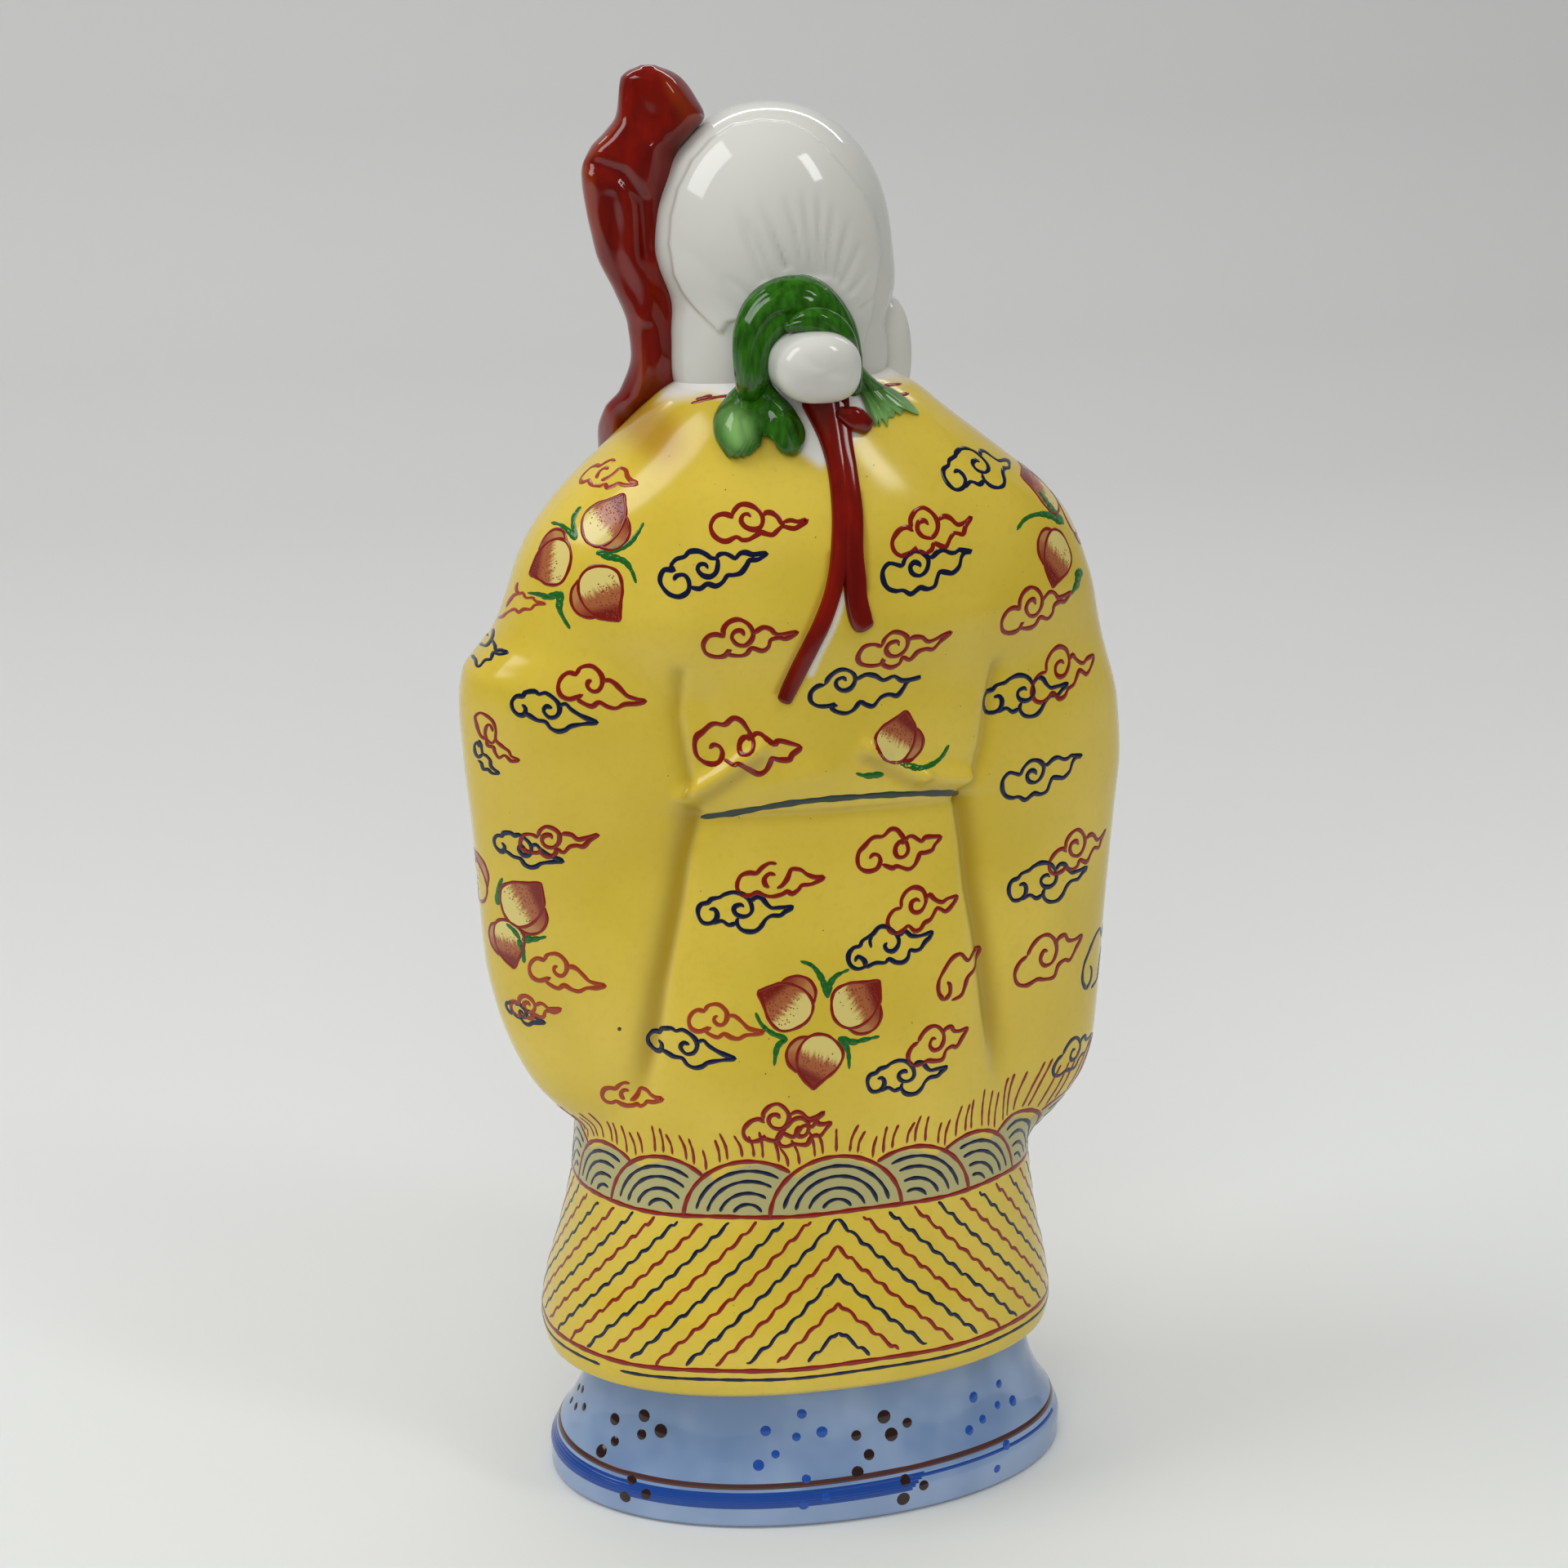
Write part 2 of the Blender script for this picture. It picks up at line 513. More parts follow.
def bead_section(place, point, side, width, height, crown=0.27):
    """Four points across a brushed line: its sunk edges and its raised top."""
    ring = []
    for share, lift in ((-0.5, SUNK), (-crown, height), (crown, height), (0.5, SUNK)):
        spot, normal = place(*(point + side * (share * width)))
        if spot is None:
            return None
        ring.append(spot + normal * lift)
    return ring


def add_strip(bag, sections):
    """Adds a closed strip through four-point sections to a bag."""
    start = len(bag["points"])
    last = start + 4 * (len(sections) - 1)
    bag["points"].extend(p for section in sections for p in section)
    for i in range(start, last, 4):
        bag["faces"].extend((i + j, i + (j + 1) % 4, i + 4 + (j + 1) % 4, i + 4 + j) for j in range(4))
    bag["faces"].extend(((start, start + 1, start + 2, start + 3), (last, last + 1, last + 2, last + 3)))


def brush(bag, place, points, width, height=0.06, gap=0.34):
    """One brushed enamel line, a thin raised bead with rounded ends that follows the surface."""
    path = rounded(points, gap)
    step = np.gradient(path, axis=0)
    step = step / np.maximum(np.linalg.norm(step, axis=1), 1e-6)[:, None]
    side = np.stack([-step[:, 1], step[:, 0]], -1)
    along = np.concatenate([[0.0], np.cumsum(np.linalg.norm(np.diff(path, axis=0), axis=1))])
    to_end = np.minimum(along, along[-1] - along)
    reach = along / width
    press = 1.0 + 0.14 * np.sin(0.9 * reach + path[0, 0]) + 0.08 * np.sin(2.3 * reach + path[0, 1])
    widths = width * press * (0.35 + 0.65 * np.sqrt(np.clip(to_end / (0.7 * width), 0.0, 1.0)))
    rings = [bead_section(place, p, s, w, height) for p, s, w in zip(path, side, widths)]
    run = []
    for ring in rings + [None]:
        if ring is not None:
            run.append(ring)
            continue
        if len(run) > 1:
            add_strip(bag, run)
        run = []


def drop(bag, place, a, b, radius, height=0.06, sides=8):
    """One dot of enamel set down with the tip of the brush."""
    start = len(bag["points"])
    turns = np.arange(sides) * TAU / sides
    for share, lift in ((1.0, SUNK), (0.62, height)):
        for t in turns:
            spot, normal = place(a + radius * share * np.cos(t), b + radius * share * np.sin(t))
            if spot is None:
                del bag["points"][start:]
                return
            bag["points"].append(spot + normal * lift)
    low = range(start, start + sides)
    for i in low:
        after = start + (i - start + 1) % sides
        bag["faces"].append((i, after, after + sides, i + sides))
    bag["faces"].append(tuple(low))
    bag["faces"].append(tuple(range(start + sides, start + 2 * sides)))


def new_bag():
    return {"points": [], "faces": []}


def paint_mesh(name, bag):
    """The mesh of everything gathered in a bag."""
    return closed_mesh(name, [tuple(p * MM) for p in bag["points"]], bag["faces"], 70.0)


def enamel(name, bag, swatch):
    """Makes one piece of all the lines and dots that were painted in one colour."""
    material = bpy.data.materials.new(name)
    material.use_nodes = True
    shader = material.node_tree.nodes["Principled BSDF"]
    shader.inputs["Base Color"].default_value = paint_colour(swatch)
    shader.inputs["Roughness"].default_value = ENAMEL_ROUGHNESS
    shader.inputs["IOR"].default_value = GLASS_IOR
    return dress(name, paint_mesh(name, bag), material)


# Clouds, each painted a little differently: a lobe, a hump that curls in on itself, a ragged
# underside and a tail. Each hand: its width, its middle and its brush lines, y downwards.
HANDS = {
    "plain": (450, (230, 790), [[(110, 785), (75, 770), (35, 780), (10, 820), (20, 865), (60, 885),
        (110, 880), (135, 845), (125, 870), (180, 880), (215, 870), (240, 840), (290, 855), (320, 835),
        (330, 800), (370, 790), (405, 795), (455, 765), (400, 770), (355, 770), (330, 745), (295, 735),
        (260, 755), (247, 768)], [(110, 785), (105, 745), (130, 710), (175, 695), (220, 715), (245, 755),
        (240, 795), (210, 825), (170, 820), (145, 785), (160, 755), (190, 750), (205, 775)]]),
    "looped": (490, (1275, 330), [[(1150, 305), (1130, 290), (1095, 283), (1055, 300), (1035, 345),
        (1050, 390), (1085, 418), (1120, 422), (1165, 402), (1195, 418), (1230, 415), (1265, 395),
        (1290, 380), (1320, 388), (1350, 392), (1375, 370), (1400, 350), (1425, 355), (1460, 360),
        (1490, 345), (1522, 318), (1480, 325), (1440, 318), (1400, 330)], [(1148, 300), (1150, 275),
        (1180, 240), (1220, 235), (1265, 255), (1295, 290), (1300, 325), (1285, 355), (1250, 365),
        (1210, 350), (1190, 320), (1200, 290), (1225, 285), (1240, 300)], [(1300, 300), (1315, 280),
        (1345, 280), (1375, 300), (1390, 325), (1412, 350)]]),
    "steep": (400, (1105, 265), [[(1010, 265), (985, 245), (945, 255), (910, 295), (912, 335), (940, 360),
        (985, 355), (1015, 335), (1010, 345), (1050, 360), (1085, 350), (1100, 325), (1150, 345),
        (1180, 310), (1205, 290), (1245, 298), (1265, 265), (1300, 230), (1260, 250), (1225, 255),
        (1195, 225), (1165, 215), (1135, 230)], [(1005, 250), (1005, 215), (1035, 180), (1075, 170),
        (1110, 195), (1130, 235), (1120, 275), (1090, 300), (1050, 290), (1030, 260), (1040, 230),
        (1070, 225), (1085, 245)]]),
    "low": (450, (970, 850), [[(860, 830), (820, 815), (775, 825), (752, 870), (765, 905), (810, 920),
        (860, 915), (875, 890), (870, 915), (910, 935), (950, 920), (965, 890), (1000, 905), (1035, 870),
        (1075, 860), (1110, 865), (1145, 830), (1192, 795), (1150, 805), (1085, 825), (1050, 800),
        (1010, 795), (985, 805)], [(860, 825), (870, 790), (905, 762), (950, 770), (980, 800), (975, 850),
        (940, 880), (900, 875), (880, 845), (895, 815), (930, 808), (940, 830)]]),
    "ringed": (560, (1055, 598), [[(850, 635), (865, 610), (905, 605), (930, 640), (925, 690), (880, 718),
        (825, 705), (785, 660), (778, 620), (800, 580), (850, 580), (835, 560), (860, 525), (905, 510),
        (930, 485), (975, 480), (1015, 495), (1045, 515), (1075, 520), (1080, 550), (1070, 590),
        (1040, 612), (1000, 605), (975, 575), (985, 550), (1015, 548), (1030, 570)], [(1070, 515),
        (1090, 495), (1120, 492), (1150, 505), (1170, 515), (1195, 490), (1225, 485), (1260, 495),
        (1300, 490), (1332, 490), (1290, 520), (1245, 525), (1230, 550), (1200, 590), (1160, 602),
        (1130, 605), (1105, 640), (1070, 660), (1025, 650), (985, 675), (925, 665)]]),
    "broad": (455, (1078, 478), [[(955, 445), (930, 435), (890, 425), (860, 455), (860, 500), (880, 535),
        (915, 550), (950, 550), (985, 570), (1015, 555), (1035, 545), (1070, 555), (1105, 545), (1120, 510),
        (1135, 485), (1170, 490), (1200, 495), (1235, 470), (1250, 430), (1270, 410), (1305, 410),
        (1260, 400), (1240, 395), (1220, 405), (1195, 405), (1160, 390), (1130, 395), (1100, 415),
        (1085, 410)], [(955, 445), (965, 415), (1000, 385), (1040, 385), (1075, 410), (1080, 440),
        (1065, 475), (1035, 492), (1000, 480), (990, 450), (1010, 430), (1035, 440), (1040, 455)]]),
    "long": (540, (775, 1037), [[(580, 1000), (545, 1005), (515, 1035), (515, 1075), (545, 1100),
        (590, 1105), (635, 1098), (615, 1108), (630, 1130), (680, 1145), (720, 1130), (750, 1095),
        (780, 1110), (815, 1118), (850, 1080), (890, 1068), (930, 1078), (960, 1045), (985, 1010),
        (1045, 998), (1000, 1005), (950, 1005), (910, 980), (860, 995), (820, 970), (775, 960), (740, 975),
        (725, 980)], [(580, 1000), (600, 960), (640, 930), (680, 930), (715, 955), (722, 990), (700, 1025),
        (665, 1032), (635, 1010), (635, 980), (665, 968), (680, 985)]]),
    "knotted": (337, (1047, 320), [[(925, 345), (940, 330), (960, 335), (968, 355), (960, 380), (940, 392),
        (910, 392), (885, 375), (878, 345), (885, 315), (905, 295), (930, 270), (950, 262), (980, 262),
        (1010, 238), (1035, 242), (1052, 262), (1070, 285), (1080, 275), (1100, 275), (1135, 298),
        (1150, 285), (1180, 285), (1215, 292), (1190, 320), (1180, 338), (1150, 345), (1130, 345),
        (1120, 365), (1105, 390), (1080, 402), (1035, 385), (1015, 390), (975, 372)], [(1055, 275),
        (1075, 300), (1080, 330), (1065, 350), (1040, 350), (1028, 330), (1032, 305), (1050, 290),
        (1062, 302)]]),
    "ragged": (290, (1145, 575), [[(1060, 560), (1030, 565), (1008, 590), (1003, 620), (1015, 645),
        (1040, 655), (1065, 645), (1085, 632), (1110, 655), (1135, 650), (1150, 630), (1175, 620),
        (1190, 600), (1205, 580), (1225, 590), (1240, 598), (1262, 585), (1290, 550), (1250, 550),
        (1230, 560), (1210, 555), (1190, 540), (1175, 525), (1155, 540)], [(1060, 560), (1060, 530),
        (1080, 500), (1110, 488), (1140, 498), (1155, 520), (1158, 550), (1140, 580), (1115, 585),
        (1098, 570), (1100, 545), (1120, 535), (1135, 545)]]),
    "hooked": (390, (435, 590), [[(290, 575), (310, 572), (322, 590), (318, 615), (295, 632), (265, 630),
        (248, 605), (245, 575), (258, 552), (285, 545), (300, 530), (335, 522), (350, 512), (385, 502),
        (420, 508), (445, 525), (460, 550), (465, 580), (450, 600), (425, 605), (400, 595), (390, 575),
        (398, 560), (420, 555), (432, 565)], [(460, 545), (480, 525), (505, 530), (525, 555), (545, 572),
        (575, 572), (628, 572), (600, 590), (580, 605), (545, 605), (520, 620), (500, 650), (475, 668),
        (440, 668), (415, 655), (402, 630), (408, 608)], [(300, 635), (340, 622), (370, 640), (402, 630)]]),
    "open": (350, (575, 440), [[(560, 375), (530, 372), (500, 390), (480, 410), (450, 408), (420, 418),
        (405, 445), (405, 475), (425, 497), (455, 500), (480, 488), (505, 500), (540, 508), (580, 500),
        (600, 490), (620, 500), (645, 485), (660, 468), (700, 465), (745, 442), (710, 438), (680, 425),
        (655, 405), (620, 400), (610, 415), (600, 440), (580, 465), (560, 475)], [(555, 420), (530, 415),
        (510, 435), (515, 460), (530, 470)]]),
    "round": (308, (355, 1020), [[(275, 975), (240, 970), (215, 990), (205, 1020), (215, 1050), (245, 1062),
        (275, 1052), (290, 1045), (275, 1060), (295, 1075), (325, 1085), (350, 1070), (380, 1085),
        (410, 1090), (440, 1075), (480, 1072), (510, 1062), (480, 1055), (450, 1045), (430, 1025),
        (405, 1000), (385, 990), (365, 995)], [(270, 975), (285, 950), (320, 942), (345, 955), (362, 980),
        (360, 1010), (345, 1030), (325, 1030), (310, 1015), (312, 998), (325, 992)]]),
    "lumpy": (355, (1012, 712), [[(915, 785), (880, 792), (855, 780), (842, 755), (845, 725), (865, 705),
        (890, 700), (900, 680), (940, 660), (965, 635), (990, 632), (1015, 645), (1035, 665), (1048, 690),
        (1045, 715), (1025, 735), (1000, 730), (990, 710), (1000, 698)], [(1050, 680), (1070, 660),
        (1085, 668), (1100, 682), (1130, 688), (1160, 685), (1190, 680), (1180, 700), (1160, 715),
        (1140, 740), (1115, 745), (1095, 740), (1085, 770), (1065, 785), (1035, 782), (1005, 765),
        (990, 778), (950, 775), (915, 785), (905, 760), (880, 742), (868, 762)], [(940, 660), (930, 685),
        (935, 712)]]),
    "small": (245, (1212, 1105), [[(1130, 1085), (1105, 1100), (1090, 1130), (1100, 1160), (1130, 1170),
        (1165, 1160), (1190, 1165), (1225, 1165), (1240, 1135), (1265, 1125), (1285, 1130), (1310, 1100),
        (1332, 1072), (1300, 1075), (1275, 1070), (1262, 1052), (1240, 1055), (1228, 1070)], [(1130, 1085),
        (1145, 1060), (1170, 1040), (1200, 1038), (1225, 1060), (1232, 1090), (1218, 1120), (1190, 1125),
        (1175, 1105), (1185, 1082), (1200, 1085)]]),
    "upright": (200, (1300, 835), [[(1225, 910), (1205, 880), (1205, 840), (1225, 805), (1260, 765),
        (1295, 755), (1315, 775), (1330, 785), (1355, 765), (1385, 758), (1395, 765), (1375, 800),
        (1355, 825), (1325, 845), (1310, 880), (1295, 905), (1255, 915)], [(1225, 910), (1248, 890),
        (1250, 860), (1238, 845)]]),
    "trailing": (355, (217, 1122), [[(85, 1100), (100, 1115), (95, 1140), (70, 1145), (45, 1125),
        (40, 1095), (60, 1070), (90, 1065), (100, 1050), (140, 1042), (160, 1052), (185, 1045), (215, 1060),
        (240, 1085), (245, 1115), (230, 1140), (200, 1145), (178, 1120), (190, 1100), (215, 1105)],
        [(245, 1095), (270, 1085), (290, 1105), (320, 1125), (350, 1140), (395, 1158), (350, 1165),
        (310, 1172), (285, 1180), (265, 1195), (235, 1202), (205, 1190), (185, 1165), (150, 1160),
        (120, 1145), (95, 1135)]]),
}
# Seen from behind: middle of each cloud and its width in photo pixels, and its hand
RED_CLOUDS = [(928, 640, 118, "looped"), (1143, 648, 104, "steep"), (1273, 743, 92, "plain"),
              (918, 782, 116, "plain"), (1108, 795, 116, "low"), (1306, 823, 86, "ragged"),
              (735, 843, 108, "round"), (912, 913, 113, "knotted"), (683, 1032, 100, "low"),
              (1324, 1038, 76, "steep"), (1102, 1040, 103, "knotted"), (956, 1077, 108, "open"),
              (1130, 1113, 88, "ragged"), (1287, 1172, 88, "small"), (1178, 1195, 60, "upright"),
              (1150, 1278, 76, "small"), (960, 1374, 100, "steep"), (985, 1386, 66, "small")]
RUST_CLOUDS = [(745, 580, 68, "open"), (692, 1192, 95, "round"), (653, 1235, 66, "plain"),
               (888, 1252, 92, "round"), (775, 1340, 78, "open")]
NAVY_CLOUDS = [(1205, 573, 90, "hooked"), (873, 703, 132, "ringed"), (1137, 700, 114, "broad"),
               (1060, 845, 138, "long"), (1258, 853, 109, "hooked"), (677, 872, 106, "trailing"),
               (1277, 953, 104, "broad"), (644, 1042, 86, "trailing"), (1286, 1081, 104, "hooked"),
               (912, 1118, 117, "hooked"), (1090, 1158, 106, "lumpy"), (1345, 1170, 40, "upright"),
               (641, 1242, 50, "trailing"), (845, 1284, 108, "trailing"), (1318, 1290, 52, "small"),
               (1112, 1320, 100, "hooked")]
# Seen from the front, plainer: (x, z) of the middle, its hand and its colour
FRONT_CLOUDS = [(-29, 128, "plain", 0), (28, 126, "broad", 1), (-37, 112, "long", 1), (39, 112, "low", 0),
                (-27, 98, "steep", 0), (-38, 88, "broad", 1), (40, 84, "plain", 0), (29, 74, "trailing", 1),
                (-36, 62, "lumpy", 1), (37, 66, "looped", 0), (-8, 62, "small", 0), (9, 56, "hooked", 1),
                (-7, 82, "broad", 1), (-18, 122, "hooked", 1)]
LINE, STEP_ALONG, FRONT_CLOUD_WIDTH = 0.82, 0.34, 11.5

red_bag, rust_bag, navy_bag, leaf_bag, speck_bag, blush_bag = (new_bag() for _ in range(6))


def cloud(bag, spot, normal, width, hand):
    """Paints one cloud in a hand, its width in mm, with its middle on a spot of the robe."""
    wide, middle, lines = HANDS[hand]
    size = width / wide
    place = transfer(robe_skin, spot, normal, size=size)
    for line in lines:
        path = [(x - middle[0], middle[1] - y) for x, y in line]
        brush(bag, place, path, LINE / size, gap=STEP_ALONG / size)


def mm_per_pixel(spot, normal):
    """Millimetres along the surface that one photo pixel covers across a drawing there."""
    right = Vector((0.0, 0.0, 1.0)).cross(normal).normalized()
    return (spot - EYE).dot(AHEAD) / FOCAL / max(0.45, abs(right.dot(ASIDE)))


for bag, clouds in ((red_bag, RED_CLOUDS), (rust_bag, RUST_CLOUDS), (navy_bag, NAVY_CLOUDS)):
    for u, v, width, hand in clouds:
        spot, normal = seen_at(robe_skin, u, v)
        if spot is not None:
            cloud(bag, spot, normal, width * mm_per_pixel(spot, normal), hand)
for x, z, hand, colour in FRONT_CLOUDS:
    cloud((red_bag, navy_bag)[colour], *along_y(robe_skin, x, z, -1.0), FRONT_CLOUD_WIDTH, hand)

# Peaches, drawn tip down: the near half, the far half that shows at its side, and the blush.
NEAR_HALF = [(-0.25, -4.9), (-2.4, -2.9), (-3.1, -1.4), (-3.3, 0.3), (-2.9, 1.9), (-2.0, 3.1), (-0.7, 3.65),
             (0.9, 3.5), (2.4, 2.5), (3.4, 1.2), (3.5, 0.0), (2.7, -1.7), (1.2, -3.2), (-0.25, -4.9)]
FAR_HALF = [(-1.7, 3.3), (-3.4, 2.9), (-4.4, 2.0), (-4.9, 0.8), (-4.75, -0.5), (-4.1, -1.5), (-2.9, -2.4)]
PEACH_GROUP = [((-4.4, 3.4), 165.0), ((5.1, 3.2), 41.0), ((0.2, -5.1), -92.0)]
GROUP_LEAVES = [[(-2.4, 8.8), (-0.8, 7.2), (0.5, 5.2), (1.3, 3.7)], [(4.4, 7.8), (2.6, 6.8), (1.6, 5.2),
                (1.3, 3.7)], [(-8.8, 1.4), (-7.6, -0.4), (-6.1, -1.7), (-4.0, -1.8)], [(-6.2, -6.1),
                (-6.0, -4.0), (-5.2, -2.0)], [(8.6, -1.7), (6.4, -2.4), (4.1, -2.5), (2.9, -2.2)],
                [(4.6, -6.6), (4.6, -4.4), (3.9, -2.4)]]
# Peaches seen from behind: pixel, shift along the surface in mm, where the tip points, and size.
PEACHES = [(964, 1233, 0.0, 0.0, 153.0, 0.95), (1047, 1229, 0.0, 0.0, 43.0, 0.95),
           (1003, 1296, 0.0, 0.0, -97.0, 0.93), (738, 638, 0.0, 0.0, 69.0, 0.92),
           (675, 688, 0.0, 0.0, 212.0, 0.92), (736, 724, 0.0, 0.0, -50.0, 0.94),
           (1296, 680, 0.0, 0.0, -117.0, 0.95), (1296, 680, 3.0, 8.8, 150.0, 0.95),
           (1296, 680, 9.0, 5.0, 21.0, 0.95), (637, 1106, 0.0, 0.0, 49.0, 0.95),
           (622, 1152, 0.0, 0.0, -74.0, 0.82), (637, 1106, -9.5, 1.0, 150.0, 0.95),
           (1097, 905, 0.0, 0.0, 75.0, 0.84)]
# Their leaves in pixels, each from its point to its stalk.
LEAVES = [[(980, 1177), (995, 1183), (1007, 1200), (1013, 1221)], [(1040, 1187), (1024, 1195), (1016, 1206),
          (1013, 1222)], [(925, 1240), (933, 1255), (947, 1266), (963, 1271)], [(948, 1305), (952, 1282),
          (964, 1271)], [(1077, 1269), (1059, 1273), (1044, 1276), (1026, 1272)], [(1040, 1309),
          (1038, 1286), (1028, 1273)], [(675, 640), (687, 643), (700, 654), (705, 661)], [(711, 620),
          (702, 636), (705, 660)], [(788, 640), (780, 654), (765, 669), (730, 678)], [(779, 714), (773, 698),
          (762, 686), (735, 679)], [(646, 726), (661, 728), (671, 731), (688, 726)], [(698, 770), (690, 757),
          (685, 744), (687, 724)], [(1245, 649), (1255, 636), (1269, 630), (1285, 631), (1301, 641)],
          [(1271, 600), (1282, 615), (1294, 631), (1302, 642)], [(1310, 729), (1318, 717), (1322, 696)],
          [(669, 1147), (654, 1150), (639, 1150)], [(642, 1179), (640, 1164), (635, 1150)], [(620, 1131),
          (629, 1139), (637, 1150)], [(615, 1075), (611, 1087), (610, 1108)], [(1162, 912), (1152, 928),
          (1137, 938), (1122, 940), (1102, 933)], [(1048, 947), (1061, 950), (1082, 948)]]
FRONT_PEACHES = [(-33, 74, 10.0, 0.9), (36, 96, -20.0, 0.85)]
steady = np.random.default_rng(7)
wash_bag = {"points": [], "faces": [], "shades": []}


def turned(points, degrees, middle=(0.0, 0.0)):
    c, s = np.cos(np.radians(degrees)), np.sin(np.radians(degrees))
    return np.array(points, float) @ np.array([[c, s], [-s, c]]) + np.array(middle)


def wash_patch(place, grid, shades):
    """A thin coat of colour inside an outline: a grid of flat points, and how red each one is."""
    rows, columns = shades.shape
    tops = []
    for (a, b), shade in zip(grid.reshape(-1, 2), shades.ravel()):
        spot, normal = place(a, b)
        if spot is None:
            return
        tops.append((spot + normal * 0.025, spot - normal * 0.04, shade))
    start = len(wash_bag["points"])
    count = rows * columns
    wash_bag["points"].extend([top for top, _, _ in tops] + [under for _, under, _ in tops])
    wash_bag["shades"].extend([shade for _, _, shade in tops] * 2)
    index = start + np.arange(count).reshape(rows, columns)
    for i in range(rows - 1):
        for j in range(columns - 1):
            corners = (index[i, j], index[i, j + 1], index[i + 1, j + 1], index[i + 1, j])
            wash_bag["faces"].extend((corners, tuple(c + count for c in corners[::-1])))
    rim = np.concatenate([index[0, :-1], index[:-1, -1], index[-1, :0:-1], index[:0:-1, 0]])
    for first, second in zip(rim, np.roll(rim, -1)):
        wash_bag["faces"].append((first, first + count, second + count, second))


def peach_painting(place, middle, tip, size):
    """The two halves in pale yellow, reddened towards the tip, then outlined and stippled."""
    a, b = np.meshgrid(np.linspace(-1.0, 1.0, 30), np.linspace(-1.0, 1.0, 30))
    outer = rounded(NEAR_HALF, 0.2)[:-1]
    angle = np.arctan2(outer[:, 1], outer[:, 0])
    order = np.argsort(angle)
    reach = np.interp(np.arctan2(b, a), angle[order], np.hypot(*outer[order].T), period=TAU)
    square = np.maximum(np.abs(a), np.abs(b)) / np.maximum(np.hypot(a, b), 1e-9)
    near = np.stack([a * reach * square, b * reach * square], -1)
    fan = 0.5 + 0.5 * np.sin(9.0 * near[..., 0] + 1.5 * np.sin(3.0 * near[..., 0]))
    down = near[..., 1] + 0.30 * near[..., 0] + 0.9 * fan - 0.4
    red = 0.55 * ease(1.3, -1.0, down) + 0.45 * ease(-1.6, -3.6, near[..., 1] + 0.45 * near[..., 0])
    wash_patch(place, turned(near.reshape(-1, 2), tip + 90.0, middle).reshape(near.shape), red)
    far = rounded(FAR_HALF, 0.25)
    along = np.linspace(0.0, 1.0, len(far))
    near_side = np.array([(-0.7, 3.65), (-2.0, 3.1), (-2.9, 1.9), (-3.3, 0.3), (-3.1, -1.4), (-2.5, -2.7)])
    inner = np.stack([np.interp(along, np.linspace(0.0, 1.0, 6), near_side[:, k]) for k in (0, 1)], -1)
    strip = np.stack([far * (1.0 - t) + inner * t for t in np.linspace(0.0, 1.0, 6)])
    red = 0.35 + 0.45 * ease(1.5, -1.5, strip[..., 1])
    wash_patch(place, turned(strip.reshape(-1, 2), tip + 90.0, middle).reshape(strip.shape), red)
    for half in (NEAR_HALF, FAR_HALF):
        brush(red_bag, place, turned(half, tip + 90.0, middle), 0.62 / size, gap=STEP_ALONG / size)
    for a in np.arange(-3.0, 3.2, 0.42):
        for b in np.arange(-4.2, 1.6, 0.42):
            p = np.array([a, b]) + steady.uniform(-0.17, 0.17, 2)
            if edge_distance(NEAR_HALF, p[0], p[1]) > 0.35 and steady.random() < 0.85 - 0.17 * (b + 3.0):
                q = turned([p], tip + 90.0, middle)[0]
                drop(blush_bag, place, q[0], q[1], steady.uniform(0.12, 0.20) / size, 0.035, 6)


def leaf_stroke(place, leaf, unit=1.0):
    """A leaf laid down with one press of the brush: a point that widens to the stalk."""
    path = rounded(leaf, 0.5 * unit)
    for k in range(2, len(path) - 1, 2):
        share = k / (len(path) - 1)
        width = 0.45 + 1.0 * share**1.1
        brush(leaf_bag, place, path[k - 2:k + 3], width * unit, 0.05, gap=0.5 * unit)


def along_sight(u, v):
    """Lays a photo pixel on the robe."""
    return seen_at(robe_skin, u, -v)


PIXELS_PER_MM = 9.4
for u, v, across, up, tip, size in PEACHES:
    place = transfer(robe_skin, *seen_at(robe_skin, u, v), 0.0, size, (-across / size, -up / size))
    peach_painting(place, (0.0, 0.0), tip, size)
for leaf in LEAVES:
    leaf_stroke(along_sight, [(u, -v) for u, v in leaf], PIXELS_PER_MM)

# Four clouds that run out of sight over the left sleeve, traced in pixels with a finer brush.
FINE_BRUSH = 5.2
RUST_EDGE = [[(634, 713), (632, 721), (635, 727), (640, 726), (644, 732), (652, 732), (658, 737), (667, 739),
             (655, 741), (650, 746), (641, 746), (635, 750), (630, 746), (621, 750), (615, 755), (608, 757)],
             [(635, 727), (629, 729), (623, 737), (620, 743)]]
NAVY_EDGE = [[(601, 764), (604, 772), (602, 782), (596, 790), (590, 789), (589, 781), (593, 775),
             (598, 778)], [(602, 782), (606, 790), (607, 796), (614, 796), (622, 799), (611, 801),
             (604, 799), (601, 807), (594, 808), (588, 815), (584, 815), (582, 807), (579, 804), (579, 797),
             (583, 791), (590, 789)], [(586, 906), (589, 913), (591, 923), (595, 925), (600, 931),
             (601, 938), (606, 943), (611, 947), (603, 947), (597, 942), (592, 942), (589, 934), (585, 931)],
             [(591, 923), (586, 927), (582, 922), (581, 913), (584, 909), (587, 915)]]
RED_EDGE = [[(595, 906), (588, 900), (583, 885), (582, 877), (588, 873), (595, 876), (603, 883), (607, 894),
            (607, 906), (615, 914), (623, 920), (626, 926), (635, 931), (626, 932), (618, 925), (611, 928),
            (606, 921), (604, 915), (597, 913), (595, 906)], [(607, 904), (603, 910), (596, 906), (594, 897),
            (596, 889), (600, 888), (604, 896)]]
